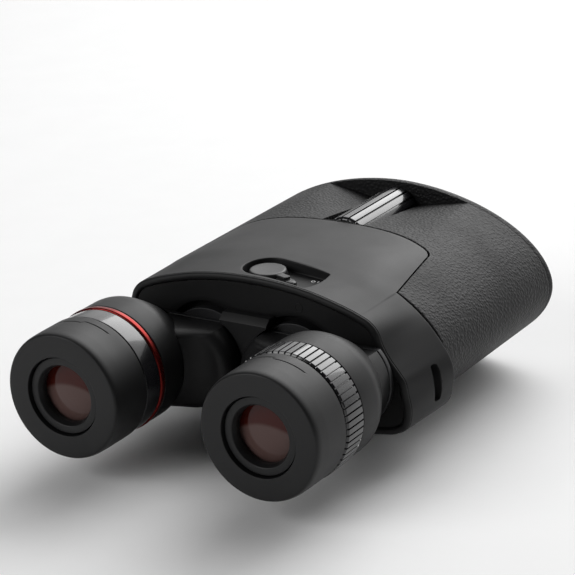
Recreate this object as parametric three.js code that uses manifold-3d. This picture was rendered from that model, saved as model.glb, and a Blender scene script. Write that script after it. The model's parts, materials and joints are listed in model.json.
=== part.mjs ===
// Image-stabilised compact binoculars: housing, swinging eyepiece arms, focus and stabiliser drives.
// Millimetres. +X is the user's right, +Y points from the eyepieces to the objectives, +Z is up.
// Origin: on the resting surface, under the middle of the object.
import * as THREE from "three";
import { mergeVertices } from "three/addons/utils/BufferGeometryUtils.js";
import Module from "manifold-3d";

const wasm = await Module();
wasm.setup();

// ---------- driving dimensions ----------
const GAP = 0.3; // between pieces that touch
const RUN = 0.4; // radial play of a piece that turns or slides
const EYE_SPACING = 70; // between the eyepiece axes with the arms open
const AXIS_HEIGHT = 29.2; // eyepiece axes above the resting surface
const LENGTH = 150.6; // eyecup face to front rim

const BODY_W = 112.8; // armoured body, across
const BODY_H = 59.4; // armoured body, full superellipse height before the belly is flattened
const BODY_POWER = 1.9; // superellipse exponent of the body's section
const BODY_MID_Z = -0.58;
const ARMOUR_WALL = 2.4;
const VALLEY_DEPTH = 2.8; // shallow channel along the top
const VALLEY_HALF = 36;
const TROUGH_DEPTH = 7.1; // deeper cut round the focus wheel
const TROUGH_HALF = 27;
const RIM_THICK = 3.1; // front rim ahead of the wheel
const RING_POINTS = 52; // points round a body section

const COLLAR_REAR_Y = 53;
const SEAM_Y = 75.4;
const COLLAR_WALL = 3;
const TONGUE_HALF = 36.5;
const TONGUE_FRONT_Y = 110.4;
const TONGUE_WALL = 2;
const TONGUE_BOW = 4.6; // how far the tongue's front edge falls back at its corners
const TONGUE_CORNER = 4;

const STRAP_SLOT = { y: 64.4, long: 11.9, wide: 3.7, z: -3.8 };

const HUB_X = 16.13;
const HUB_Z = -1.36;
const HUB_R = 15;
const HUB_REAR_Y = 41;
const HUB_TUBE_R = 11;
const HUB_BORE_R = 8.5;
const HUB_TUBE_END_Y = 66;
const ARM_TOP = 12.1; // flat on the arm's upper side, above the hub axis
const ARM_FRONT_Y = 52.6;
const ARM_TIP_R = 18.5;
const HUB_PLATE = 1.9;
const RHOMB_HALF = 7; // half the section of the rhomboid prism
const RHOMB_FRONT_Y = 50.4;

const BARREL_R = 20.34;
const BARREL_END_Y = 36;
const NECK_R = 17.2;
const BAND_R = 20.1;
const RED_R = 20.35;
const RED_WIDE = 2.1;
const OCULAR_BORE_R = 14.6;
const DIOPTRE_R = 20.7;
const DIOPTRE_WIDE = 9.4;
const DIOPTRE_RIBS = 60;

const EYECUP_R = 20.42;
const EYECUP_LONG = 16.07;
const EYECUP_MOUTH_R = 12.71;
const EYECUP_WALL = 2.6;
const SLEEVE_OUT_R = 15.2;
const CAM_WALL = 1.4;
const OCULAR_R = 12.3;
const EYE_OPENING_R = 9.1;

const WALL_FACE_Y = 53.6; // rear wall's face
const WALL_THICK = 4.5;
const WALL_BLOCK_HALF = 37;
const POCKET_R = 16.9;
const POCKET_DEEP = 2.5;
const BACKPLATE_Y = 67;
const BACKPLATE_THICK = 3;
const INDICATOR = { x: 17.2, z: 18.8, r: 1.35 };
const NOTCH = { left: -13, right: 25, lip: 0.9, z: 14 }; // room for the power switch behind the rear wall
const WALL_SKIN = 2; // rear wall's sides round its hollow

const SWITCH_Y = 63.9;
const SWITCH_FLOOR_Z = 22.7;
const SWITCH_RECESS_R = 8.1;
const RECESS_REACH = 20.6; // far end of the recess from the switch's axis
const RECESS_TIP_R = 1.2;
const RECESS_FROM = -24; // degrees from +X, sides of the recess's far end
const RECESS_TO = 11;
const SWITCH_LEVER_ANGLE = -19; // degrees from +X at rest
const SWITCH_LEVER_LONG = 13.6;
const SWITCH_LEVER_WIDE = 3.6;
const SWITCH_DISC_R = 6.6;
const SWITCH_TOP_Z = 25.5;
const SPINDLE_R = 1.9;
const SPINDLE_FOOT_Z = 19.8;
const SWITCH_BASE = 1.3; // floor under the power switch
const ROTOR = { r: 4.2, bottom: 17.6, top: 19.4 };

const WHEEL_R = 7.7;
const WHEEL_Z = 19.8;
const WHEEL_RIBS = 18;
const SHAFT_R = 2;

const OBJECTIVE_X = 29.5;
const OBJECTIVE_Z = -1.5;
const CELL_R = 16.6;
const CELL_WALL = 1.6;
const WINDOW_R = 18.2;
const WINDOW_THICK = 1.5;
const CARRIAGE_Y = 105.5;
const CARRIAGE_THICK = 3;
const CELL_LONG = 28;

const BULKHEAD_Y = 97;
const BULKHEAD_THICK = 2.5;
const GIMBAL_Y = 84;
const GIMBAL_Z = -1.5;
const LOOP_HALF_X = 48;
const LOOP_HALF_Z = 20;
const LOOP_BAR = 3;
const CRADLE_HALF_X = 42.5;
const CRADLE_HALF_Z = 14.5;
const PRISM = { x: 21, wide: 20, deep: 14, high: 18 };
const PIVOT_R = 1.5;

const BATTERY_Z = -16.5;
const BATTERY_R = 7;
const BATTERY_LONG = 50;
const TUBE_WALL = 1.1;

// ---------- helpers ----------
const rad = THREE.MathUtils.degToRad;
const TURN = Math.PI * 2;

// A closed geometry as a manifold solid, with only its positions kept.
function solid(geometry) {
  const bare = geometry.index ? geometry.toNonIndexed() : geometry.clone();
  bare.deleteAttribute("normal");
  bare.deleteAttribute("uv");
  const merged = mergeVertices(bare, 1e-4);
  return new wasm.Manifold(
    new wasm.Mesh({
      numProp: 3,
      vertProperties: new Float32Array(merged.attributes.position.array),
      triVerts: new Uint32Array(merged.index.array),
    }),
  );
}

function geometryOf(manifold) {
  const mesh = manifold.getMesh();
  const indexed = new THREE.BufferGeometry();
  indexed.setAttribute("position", new THREE.BufferAttribute(mesh.vertProperties, 3));
  indexed.setIndex(new THREE.BufferAttribute(mesh.triVerts, 1));
  const flat = indexed.toNonIndexed();
  flat.computeVertexNormals();
  return flat;
}

const join = (...parts) => geometryOf(parts.map(solid).reduce((a, b) => a.add(b)));
const cut = (body, ...tools) =>
  geometryOf(tools.map(solid).reduce((a, b) => a.subtract(b), solid(body)));
const common = (a, b) => geometryOf(solid(a).intersect(solid(b)));

// A profile of [radius, y] turned about the Y axis, listed anticlockwise (outer side upwards).
function turned(profile, segments = 22) {
  const points = profile.map(([r, y]) => new THREE.Vector2(r, y));
  if (points[0].x > 0) points.push(points[0].clone());
  return new THREE.LatheGeometry(points, segments);
}

const tube = (rOut, rIn, y0, y1, segments) =>
  turned([[rIn, y0], [rOut, y0], [rOut, y1], [rIn, y1]], segments);
const disc = (r, y0, y1, segments) => turned([[0, y0], [r, y0], [r, y1], [0, y1]], segments);

// A block between two corners.
function block(x0, x1, y0, y1, z0, z1) {
  return new THREE.BoxGeometry(x1 - x0, y1 - y0, z1 - z0).translate(
    (x0 + x1) / 2,
    (y0 + y1) / 2,
    (z0 + z1) / 2,
  );
}

// A shape drawn in X and Z, extruded from y0 to y1.
function slab(shape, y0, y1, curveSegments = 16) {
  const made = new THREE.ExtrudeGeometry(shape, {
    depth: y1 - y0,
    bevelEnabled: false,
    curveSegments,
  });
  return made.rotateX(Math.PI / 2).translate(0, y1, 0);
}

// A shape drawn in X and Y, extruded from z0 to z1.
function plate(shape, z0, z1, curveSegments = 16) {
  const made = new THREE.ExtrudeGeometry(shape, {
    depth: z1 - z0,
    bevelEnabled: false,
    curveSegments,
  });
  return made.translate(0, 0, z0);
}

const LOFT_CENTRE_Z = -2; // a place inside every ring

// Rings of [x, z] points at given y, joined into a closed solid with flat ends.
// Rings run anticlockwise seen from behind (from -Y).
function loft(sections) {
  const count = sections[0].ring.length;
  const position = [];
  for (const { ring, y } of sections) for (const [x, z] of ring) position.push(x, y, z);
  const index = [];
  for (let s = 0; s + 1 < sections.length; s++)
    for (let i = 0; i < count; i++) {
      const a = s * count + i;
      const b = s * count + ((i + 1) % count);
      index.push(a, b + count, b, a, a + count, b + count);
    }
  for (const s of [0, sections.length - 1]) {
    const centre = position.length / 3;
    position.push(0, sections[s].y, LOFT_CENTRE_Z);
    for (let i = 0; i < count; i++) {
      const from = s * count + i;
      const to = s * count + ((i + 1) % count);
      if (s) index.push(centre, to, from);
      else index.push(centre, from, to);
    }
  }
  const made = new THREE.BufferGeometry();
  made.setAttribute("position", new THREE.Float32BufferAttribute(position, 3));
  made.setIndex(index);
  return made;
}

// A ring moved inwards by a distance along its own normals.
function inset(ring, distance) {
  const count = ring.length;
  return ring.map(([x, z], i) => {
    const [xa, za] = ring[(i + count - 1) % count];
    const [xb, zb] = ring[(i + 1) % count];
    const long = Math.hypot(xb - xa, zb - za);
    return [x - ((zb - za) / long) * distance, z + ((xb - xa) / long) * distance];
  });
}

function circleShape(x, z, r, holes = []) {
  const shape = new THREE.Shape();
  shape.absarc(x, z, r, 0, TURN);
  shape.holes.push(...holes);
  return shape;
}

function hole(x, z, r) {
  const path = new THREE.Path();
  path.absarc(x, z, r, 0, TURN, true);
  return path;
}

// A round-ended bar between two circles of different size, in the plane of the arms.
function linkShape(xa, za, ra, xb, zb, rb) {
  const direction = Math.atan2(zb - za, xb - xa);
  const lean = Math.acos((ra - rb) / Math.hypot(xb - xa, zb - za));
  const shape = new THREE.Shape();
  shape.absarc(xb, zb, rb, direction - lean, direction + lean, false);
  shape.absarc(xa, za, ra, direction + lean, direction - lean + TURN, false);
  return shape;
}

const material = (color, roughness, metalness) =>
  new THREE.MeshStandardMaterial({ color, roughness, metalness });
const finishes = {
  armour: material(0x1b1b1c, 0.85, 0),
  shell: material(0x202021, 0.6, 0),
  inner: material(0x151516, 0.8, 0),
  cup: material(0x1c1c1d, 0.75, 0),
  gloss: material(0x101011, 0.25, 0),
  red: material(0xb3261c, 0.35, 0.8),
  metal: material(0x8f9296, 0.35, 1),
  black_metal: material(0x18181a, 0.45, 0.7),
  brass: material(0xb08d45, 0.35, 1),
  glass: material(0x6a3b36, 0.05, 0),
  board: material(0x1d4a2c, 0.6, 0),
  battery: material(0x3a5a3c, 0.4, 0.4),
};

const part = new THREE.Group();
const rig = new THREE.Group();
rig.position.set(0, -LENGTH / 2, AXIS_HEIGHT);
part.add(rig);

// Names a piece and places it; x and z move a turned piece onto its axis.
function piece(name, geometry, finish, x = 0, z = 0) {
  const mesh = new THREE.Mesh(geometry, finishes[finish]);
  mesh.name = name;
  mesh.position.set(x, 0, z);
  rig.add(mesh);
}

const SIDES = [
  ["left", -1],
  ["right", 1],
];
const BELLY_Z = -AXIS_HEIGHT;
const EYE_X = EYE_SPACING / 2;

// ---------- body sections ----------
// Height lost below the plain superellipse, at x across and y along.
function topDrop(x, y) {
  const across = Math.abs(x);
  const wheelRear = TONGUE_FRONT_Y;
  const wallY = LENGTH - RIM_THICK;
  if (y > wallY) return 0;
  const valley = across < VALLEY_HALF ? VALLEY_DEPTH * (1 - (across / VALLEY_HALF) ** 2) ** 2 : 0;
  const trough = TROUGH_DEPTH * Math.max(0, Math.min(1, (TROUGH_HALF - across) / (TROUGH_HALF - WHEEL_R)));
  const share = THREE.MathUtils.clamp((y - wheelRear) / (wallY - wheelRear), 0, 1);
  return valley * (1 - share) + trough * share;
}

function bodyRing(y, shrink = 0) {
  const ring = [];
  for (let i = 0; i < RING_POINTS; i++) {
    const angle = (i / RING_POINTS) * TURN;
    const c = Math.cos(angle);
    const s = Math.sin(angle);
    const power = 2 / BODY_POWER;
    const x = Math.sign(c) * Math.abs(c) ** power * (BODY_W / 2 - shrink);
    let z = Math.sign(s) * Math.abs(s) ** power * (BODY_H / 2 - shrink) + BODY_MID_Z;
    if (s > 0) z -= topDrop(x, y);
    ring.push([x, Math.max(z, BELLY_Z + shrink)]);
  }
  return ring;
}

// Right-hand outline points of the collar at its rear rim and at the seam, from top to bottom centre.
const COLLAR_REAR = [
  [0, 26.3], [10.8, 25.85], [21.5, 24.4], [32.3, 21.7], [38.5, 19.6], [42.1, 17.9], [44.6, 15.1],
  [46.1, 11], [48.4, 7], [51.5, 3.2], [53.6, 0.2], [54.6, -4.5], [55.4, -9], [54.3, -14.3],
  [50.5, -17], [45, -18.2], [28, -20], [0, -20.4],
];
const COLLAR_SEAM = [
  [0, 26.32], [10.8, 25.98], [21.5, 25.15], [32.3, 23.1], [39.2, 20], [42.8, 17.8], [46.1, 15.4],
  [49, 12.9], [51.6, 10.3], [55.2, 5.7], [57.7, 1.7], [59, -2.6], [58.6, -7.75], [56.8, -13.1],
  [51.5, -17.2], [45, -19], [28, -25.9], [0, -29.2],
];
const COLLAR_STEPS = 2; // divisions between two outline points

function collarRing(share) {
  const right = COLLAR_REAR.map(([x, z], i) => {
    const [xs, zs] = COLLAR_SEAM[i];
    return new THREE.Vector2(x + (xs - x) * share, z + (zs - z) * share);
  });
  const mirror = (p) => new THREE.Vector2(-p.x, p.y);
  const last = right.length - 1;
  const whole = [...right, ...right.slice(1, last).reverse().map(mirror)];
  const curve = new THREE.SplineCurve([whole[whole.length - 1], ...whole, whole[0], whole[1]]);
  const spans = curve.points.length - 1;
  const ring = [];
  for (let i = 0; i < whole.length * COLLAR_STEPS; i++) {
    const p = curve.getPoint((1 + i / COLLAR_STEPS) / spans);
    ring.push([p.x, Math.max(p.y, BELLY_Z)]);
  }
  return ring.reverse();
}

const collarShare = (y) => (y - COLLAR_REAR_Y) / (SEAM_Y - COLLAR_REAR_Y);

// The collar's solid inside, shrunk by a distance, between two places along Y.
function collarCore(distance, y0, y1) {
  return loft([y0, y1].map((y) => ({ y, ring: inset(collarRing(collarShare(y)), distance) })));
}

// Plan of the tongue, grown by a distance.
function tonguePlan(grow) {
  const half = TONGUE_HALF + grow;
  const front = TONGUE_FRONT_Y + grow;
  const corner = front - TONGUE_BOW;
  const shape = new THREE.Shape();
  shape.moveTo(-half, SEAM_Y - 1);
  shape.lineTo(half, SEAM_Y - 1);
  shape.lineTo(half - 2, corner - TONGUE_CORNER);
  shape.quadraticCurveTo(half - 2, corner, half - 2 - TONGUE_CORNER, corner + 0.9);
  shape.quadraticCurveTo(half / 2, front, 0, front);
  shape.quadraticCurveTo(-half / 2, front, -half + 2 + TONGUE_CORNER, corner + 0.9);
  shape.quadraticCurveTo(-half + 2, corner, -half + 2, corner - TONGUE_CORNER);
  shape.closePath();
  return shape;
}

// ---------- housing ----------
function frontArmour() {
  const wallY = LENGTH - RIM_THICK;
  const trough = [0, 0.25, 0.5, 0.75, 1].map((t) => TONGUE_FRONT_Y + (wallY - 0.1 - TONGUE_FRONT_Y) * t);
  const outerY = [SEAM_Y + GAP, ...trough, wallY + 0.1];
  const outer = outerY.map((y) => ({ y, ring: bodyRing(y) }));
  outer.push({ y: LENGTH - 0.8, ring: bodyRing(LENGTH) }, { y: LENGTH, ring: bodyRing(LENGTH, 0.8) });
  const cavityEnd = LENGTH - 1.6;
  const cavityY = [SEAM_Y - 1, ...trough];
  const cavity = cavityY.map((y) => ({ y, ring: inset(bodyRing(y), ARMOUR_WALL) }));
  cavity.push({ y: cavityEnd + 0.1, ring: inset(bodyRing(wallY - 0.1), ARMOUR_WALL) });
  const recess = [cavityEnd, LENGTH + 1].map((y) => ({ y, ring: inset(bodyRing(LENGTH), ARMOUR_WALL) }));
  const slot = block(-WHEEL_R - RUN, WHEEL_R + RUN, TONGUE_FRONT_Y - 2, wallY - 0.05, 5, BODY_H);
  return cut(
    loft(outer),
    loft(cavity),
    loft(recess),
    plate(tonguePlan(GAP), 5, BODY_H),
    slot,
    disc(SHAFT_R + RUN, wallY - 2, LENGTH, 16).translate(0, 0, WHEEL_Z),
  );
}

// The recess that the power switch sits in: a round, drawn out to an arc beyond the lever's travel.
const RECESS_STEPS = 3;
function switchRecess(grow, z0, z1) {
  const rounds = [plate(circleShape(0, 0, SWITCH_RECESS_R + grow), z0, z1)];
  for (let i = 0; i <= RECESS_STEPS; i++) {
    const angle = rad(RECESS_FROM + ((RECESS_TO - RECESS_FROM) * i) / RECESS_STEPS);
    const out = RECESS_REACH - RECESS_TIP_R;
    const tip = circleShape(out * Math.cos(angle), out * Math.sin(angle), RECESS_TIP_R + grow);
    rounds.push(plate(tip, z0, z1, 8));
  }
  return geometryOf(wasm.Manifold.hull(rounds.map(solid))).translate(0, SWITCH_Y, 0);
}

function rearHousing() {
  const rimRound = 1.1;
  const shares = [
    [COLLAR_REAR_Y, rimRound],
    [COLLAR_REAR_Y + rimRound * 0.4, rimRound * 0.3],
    [COLLAR_REAR_Y + rimRound, 0],
    [SEAM_Y, 0],
  ];
  const outer = loft(shares.map(([y, d]) => ({ y, ring: inset(collarRing(collarShare(y)), d) })));
  const inner = collarCore(COLLAR_WALL, COLLAR_REAR_Y - 1, SEAM_Y + 1);
  const collar = cut(outer, inner);
  const tongueY = [0, 0.33, 0.66, 1].map((t) => SEAM_Y - 0.6 + t * (TONGUE_FRONT_Y + 1 - SEAM_Y));
  const skin = loft(tongueY.map((y) => ({ y, ring: bodyRing(SEAM_Y) })));
  const core = loft(
    [tongueY[0] - 1, tongueY[3] + 1].map((y) => ({ y, ring: inset(bodyRing(SEAM_Y), TONGUE_WALL) })),
  );
  const tongue = common(cut(skin, core), plate(tonguePlan(0), 5, BODY_H));
  const floorZ = SWITCH_FLOOR_Z - SWITCH_BASE;
  const pad = switchRecess(1.4, floorZ, SWITCH_FLOOR_Z + 1);
  const boss = common(pad, collarCore(COLLAR_WALL - 0.5, COLLAR_REAR_Y + 1.8, SEAM_Y));
  const slotShape = (side) =>
    block(side * 62 - 12, side * 62 + 12, STRAP_SLOT.y - STRAP_SLOT.wide / 2,
      STRAP_SLOT.y + STRAP_SLOT.wide / 2, STRAP_SLOT.z - STRAP_SLOT.long / 2,
      STRAP_SLOT.z + STRAP_SLOT.long / 2);
  return cut(
    join(collar, tongue, boss),
    switchRecess(0, SWITCH_FLOOR_Z, BODY_H),
    plate(circleShape(0, SWITCH_Y, SPINDLE_R + RUN), 5, BODY_H),
    slotShape(-1),
    slotShape(1),
  );
}

function rearWall() {
  const inside = COLLAR_WALL + 2 * GAP;
  const half = WALL_BLOCK_HALF;
  const plateEnd = BACKPLATE_Y + BACKPLATE_THICK;
  const wallEnd = WALL_FACE_Y + WALL_THICK;
  const core = collarCore(inside, WALL_FACE_Y, plateEnd);
  const central = common(core, block(-half, half, WALL_FACE_Y - 1, plateEnd + 1, -BODY_H, BODY_H));
  const hollow = common(
    collarCore(inside + WALL_SKIN, wallEnd, plateEnd + 1),
    block(-half + WALL_SKIN, half - WALL_SKIN, wallEnd, BACKPLATE_Y, -BODY_H, BODY_H),
  );
  const back = collarCore(inside, BACKPLATE_Y, plateEnd);
  const cuts = [hollow];
  for (const [, side] of SIDES) {
    cuts.push(
      disc(POCKET_R, WALL_FACE_Y - 1, WALL_FACE_Y + POCKET_DEEP, 32).translate(side * HUB_X, 0, HUB_Z),
      disc(HUB_TUBE_R + GAP, WALL_FACE_Y, wallEnd + 1).translate(side * HUB_X, 0, HUB_Z),
      disc(HUB_BORE_R + 0.5, BACKPLATE_Y - 1, plateEnd + 1).translate(side * HUB_X, 0, HUB_Z),
    );
  }
  const top = SWITCH_FLOOR_Z - SWITCH_BASE - GAP;
  cuts.push(
    block(NOTCH.left, NOTCH.right, WALL_FACE_Y + NOTCH.lip, plateEnd + 1, top, BODY_H),
    block(NOTCH.left, NOTCH.right, wallEnd + GAP, plateEnd + 1, NOTCH.z, BODY_H),
    disc(INDICATOR.r + GAP, WALL_FACE_Y - 1, wallEnd + 1, 20).translate(INDICATOR.x, 0, INDICATOR.z),
  );
  return cut(join(central, back), ...cuts);
}

// Hourglass web between the two hubs with a chamfered bar on top.
const BRIDGE = { top: 14.8, barBottom: 12.4, bottom: -11, barHalf: 8.6, chamfer: 2.2, rear: 47.9 };
const BRIDGE_CLEAR = 0.45; // between the web and a hub
const BRIDGE_STEPS = 14;
function centreBridge() {
  const clear = HUB_R + BRIDGE_CLEAR;
  const halfAt = (z) => {
    const rise = z - HUB_Z;
    const hubHalf = Math.sqrt(Math.max(clear ** 2 - rise ** 2, 0));
    return Math.min(HUB_X - hubHalf, BRIDGE.barHalf);
  };
  const webTop = BRIDGE.barBottom - 0.4;
  const right = [];
  for (let i = 0; i <= BRIDGE_STEPS; i++) {
    const z = BRIDGE.bottom + ((webTop - BRIDGE.bottom) * i) / BRIDGE_STEPS;
    right.push([halfAt(z), z]);
  }
  right.push([BRIDGE.barHalf, BRIDGE.barBottom], [BRIDGE.barHalf, BRIDGE.top]);
  const left = right.map(([x, z]) => [-x, z]).reverse();
  const shape = new THREE.Shape([...right, ...left].map(([x, z]) => new THREE.Vector2(x, z)));
  const body = slab(shape, BRIDGE.rear, WALL_FACE_Y - GAP);
  const wide = BRIDGE.barHalf + 3;
  const wedge = block(-wide, wide, -BRIDGE.chamfer, BRIDGE.chamfer, -BRIDGE.chamfer, BRIDGE.chamfer)
    .rotateX(Math.PI / 4)
    .translate(0, BRIDGE.rear - 0.4, BRIDGE.top + 0.4);
  return cut(body, wedge);
}

function frontBezel() {
  const y0 = LENGTH - 1.4;
  const y1 = LENGTH - 0.2;
  const ring = inset(bodyRing(LENGTH), ARMOUR_WALL + GAP);
  const body = loft([y0, y1].map((y) => ({ y, ring })));
  const openings = SIDES.map(([, side]) =>
    disc(WINDOW_R - 1.2, y0 - 1, y1 + 1, 32).translate(side * OBJECTIVE_X, 0, OBJECTIVE_Z),
  );
  const capR = BATTERY_R + TUBE_WALL + RUN;
  return cut(body, ...openings, disc(capR + GAP, y0 - 1, y1 + 1).translate(0, 0, BATTERY_Z));
}

// ---------- eyepiece arms ----------
const ARM_SHIFT = Math.hypot(EYE_X - HUB_X, HUB_Z);
const ARM_LEAN = Math.atan2(-HUB_Z, EYE_X - HUB_X);
const NECK_Y = EYECUP_LONG + GAP;
const BARREL_Y = NECK_Y + DIOPTRE_WIDE + GAP;
const PLATE_Y = ARM_FRONT_Y - HUB_PLATE;

// Turns a solid drawn along +X from the origin onto a side's hub, pointing at its eyepiece.
function ontoHub(geometry, side) {
  if (side < 0) geometry.rotateY(Math.PI);
  return geometry.rotateY(-side * ARM_LEAN).translate(side * HUB_X, 0, HUB_Z);
}

// Outline of the arm with its flat upper side.
function armOutline(side, y0, y1) {
  const link = linkShape(HUB_X, HUB_Z, HUB_R, EYE_X, 0, ARM_TIP_R);
  const flat = block(-80, 80, y0 - 1, y1 + 1, -60, HUB_Z + ARM_TOP);
  const body = common(slab(link, y0, y1, 12), flat);
  return side < 0 ? geometryOf(solid(body).mirror([1, 0, 0])) : body;
}

function armHousing(side) {
  const rear = RHOMB_FRONT_Y - 2 * RHOMB_HALF;
  const grow = 0.5;
  const half = RHOMB_HALF;
  const barrel = turned([
    [0, NECK_Y], [NECK_R, NECK_Y], [NECK_R, BARREL_Y], [BARREL_R, BARREL_Y],
    [BARREL_R, BARREL_END_Y - 0.8], [BARREL_R - 0.8, BARREL_END_Y], [ARM_TIP_R + 0.3, HUB_REAR_Y],
    [ARM_TIP_R - 0.5, HUB_REAR_Y + 1], [0, HUB_REAR_Y + 1],
  ], 36).translate(EYE_X * side, 0, 0);
  const bore = disc(OCULAR_BORE_R, NECK_Y - 1, rear).translate(EYE_X * side, 0, 0);
  const open = PLATE_Y + 1;
  const chamber = plate(new THREE.Shape([
    new THREE.Vector2(-half - grow, open), new THREE.Vector2(-half - grow, RHOMB_FRONT_Y - 0.7),
    new THREE.Vector2(half - 1.4 * grow, rear - grow),
    new THREE.Vector2(ARM_SHIFT + half + grow, rear - grow),
    new THREE.Vector2(ARM_SHIFT + half + grow, open),
  ]), -half - grow, half + grow);
  const body = join(armOutline(side, HUB_REAR_Y, PLATE_Y - GAP), barrel);
  return cut(body, bore, ontoHub(chamber, side));
}

// Rhomboid prism that shifts the light from the hub axis to the eyepiece axis.
function rhomboid(side) {
  const half = RHOMB_HALF;
  const rear = RHOMB_FRONT_Y - 2 * half;
  const shape = new THREE.Shape([
    new THREE.Vector2(-half, RHOMB_FRONT_Y), new THREE.Vector2(half, rear),
    new THREE.Vector2(ARM_SHIFT + half, rear), new THREE.Vector2(ARM_SHIFT - half, RHOMB_FRONT_Y),
  ]);
  return ontoHub(plate(shape, -half, half), side);
}

// Front plate of the arm with the hollow hub that turns in the rear wall.
function hubPlate(side) {
  const pocketY = WALL_FACE_Y + POCKET_DEEP - GAP;
  const hub = turned([
    [HUB_BORE_R, PLATE_Y], [HUB_R, PLATE_Y], [HUB_R, pocketY], [HUB_TUBE_R, pocketY],
    [HUB_TUBE_R, HUB_TUBE_END_Y], [HUB_BORE_R, HUB_TUBE_END_Y],
  ], 28).translate(side * HUB_X, 0, HUB_Z);
  const bore = disc(HUB_BORE_R, PLATE_Y - 1, ARM_FRONT_Y + 1, 28).translate(side * HUB_X, 0, HUB_Z);
  return join(cut(armOutline(side, PLATE_Y, ARM_FRONT_Y), bore), hub);
}

// Toothed sector round the hub tube; both sectors mesh at the middle of the object.
const GEAR_Y = WALL_FACE_Y + WALL_THICK + 0.5;
const GEAR_THICK = 3.2;
const GEAR_TEETH = 32; // on the full circle
function hubGear(side) {
  const pitch = TURN / GEAR_TEETH;
  const root = HUB_X - 1.2;
  const tip = HUB_X + 0.8;
  const shape = new THREE.Shape();
  const phase = side < 0 ? 0.5 : 0;
  const first = -1;
  const last = 5;
  const at = (r, turns) => [r * Math.cos(Math.PI - turns * pitch), r * Math.sin(Math.PI - turns * pitch)];
  const points = [];
  for (let k = first; k <= last; k++) {
    const middle = k + phase;
    for (const [r, off] of [[root, -0.27], [tip, -0.11], [tip, 0.11], [root, 0.27]])
      points.push(at(r, middle + off));
  }
  const inner = HUB_TUBE_R + 1.6;
  const endTurns = last + phase + 0.5;
  points.push(at(root, endTurns), at(inner, endTurns + 0.6));
  const span = GEAR_TEETH - (last - first) - 2.2;
  for (let i = 1; i < 14; i++) points.push(at(inner, endTurns + 0.6 + (span * i) / 14));
  points.push(at(inner, first + phase - 1.1), at(root, first + phase - 0.5));
  points.forEach(([x, z], i) => (i ? shape.lineTo(x, z) : shape.moveTo(x, z)));
  shape.closePath();
  const bore = disc(HUB_TUBE_R + GAP, GEAR_Y - 1, GEAR_Y + GEAR_THICK + 1, 32);
  const body = cut(slab(shape, GEAR_Y, GEAR_Y + GEAR_THICK), bore);
  const gear = side < 0 ? geometryOf(solid(body).mirror([1, 0, 0])) : body;
  return gear.translate(side * HUB_X, 0, HUB_Z);
}

// ---------- eyepieces ----------
const CELL_REAR_Y = 1.2; // ocular ring, just inside the eyecup's face
function ocularCell() {
  return turned([
    [EYE_OPENING_R, CELL_REAR_Y + 1.2], [EYE_OPENING_R + 0.5, CELL_REAR_Y], [OCULAR_R, CELL_REAR_Y],
    [OCULAR_R, NECK_Y + 1.6], [OCULAR_BORE_R - RUN, NECK_Y + 1.6], [OCULAR_BORE_R - RUN, 33],
    [OCULAR_R - 1, 33], [OCULAR_R - 1, 7.6], [EYE_OPENING_R, 7.6],
  ], 28);
}

// A lens with one bulging face towards -Y.
const LENS_STEPS = 3;
function lens(r, y, edge, bulge) {
  const profile = [];
  for (let i = 0; i <= LENS_STEPS; i++) {
    const across = (r * i) / LENS_STEPS;
    profile.push([across, y - bulge * (1 - (across / r) ** 2)]);
  }
  profile.push([r, y + edge], [0, y + edge]);
  return turned(profile);
}

function eyecup() {
  const inner = EYECUP_R - EYECUP_WALL;
  return turned([
    [EYECUP_MOUTH_R, 0.3], [EYECUP_MOUTH_R + 0.3, 0], [EYECUP_R - 2.4, 0], [EYECUP_R - 0.75, 0.6],
    [EYECUP_R - 0.1, 2.2], [EYECUP_R, 4], [EYECUP_R, EYECUP_LONG - GAP], [inner, EYECUP_LONG - GAP],
    [inner, 2.6], [EYECUP_MOUTH_R, 2.6],
  ], 36);
}

const SLEEVE_REAR_Y = 3.4;
const sleeve = () => turned([
  [OCULAR_R + RUN, SLEEVE_REAR_Y], [SLEEVE_OUT_R, SLEEVE_REAR_Y], [SLEEVE_OUT_R, NECK_Y - 2],
  [NECK_R - 0.2, NECK_Y - 2], [NECK_R - 0.2, NECK_Y - GAP], [OCULAR_R + RUN, NECK_Y - GAP],
]);
const camRing = () =>
  tube(SLEEVE_OUT_R + GAP + CAM_WALL, SLEEVE_OUT_R + GAP, SLEEVE_REAR_Y + 0.6, NECK_Y - 2 - GAP);

// A ring whose rim has flat ribs and narrow grooves.
function ribbed(r, depth, ribs, grooveShare, inner, y0, y1) {
  const shape = new THREE.Shape();
  const pitch = TURN / ribs;
  for (let k = 0; k < ribs; k++)
    for (const [radius, at] of [
      [r - depth, 0], [r - depth, grooveShare], [r, grooveShare + 0.06], [r, 0.94],
    ]) {
      const angle = (k + at) * pitch;
      const x = radius * Math.cos(angle);
      const z = radius * Math.sin(angle);
      if (k === 0 && at === 0) shape.moveTo(x, z);
      else shape.lineTo(x, z);
    }
  shape.closePath();
  shape.holes.push(hole(0, 0, inner));
  return slab(shape, y0, y1, 14);
}

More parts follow.
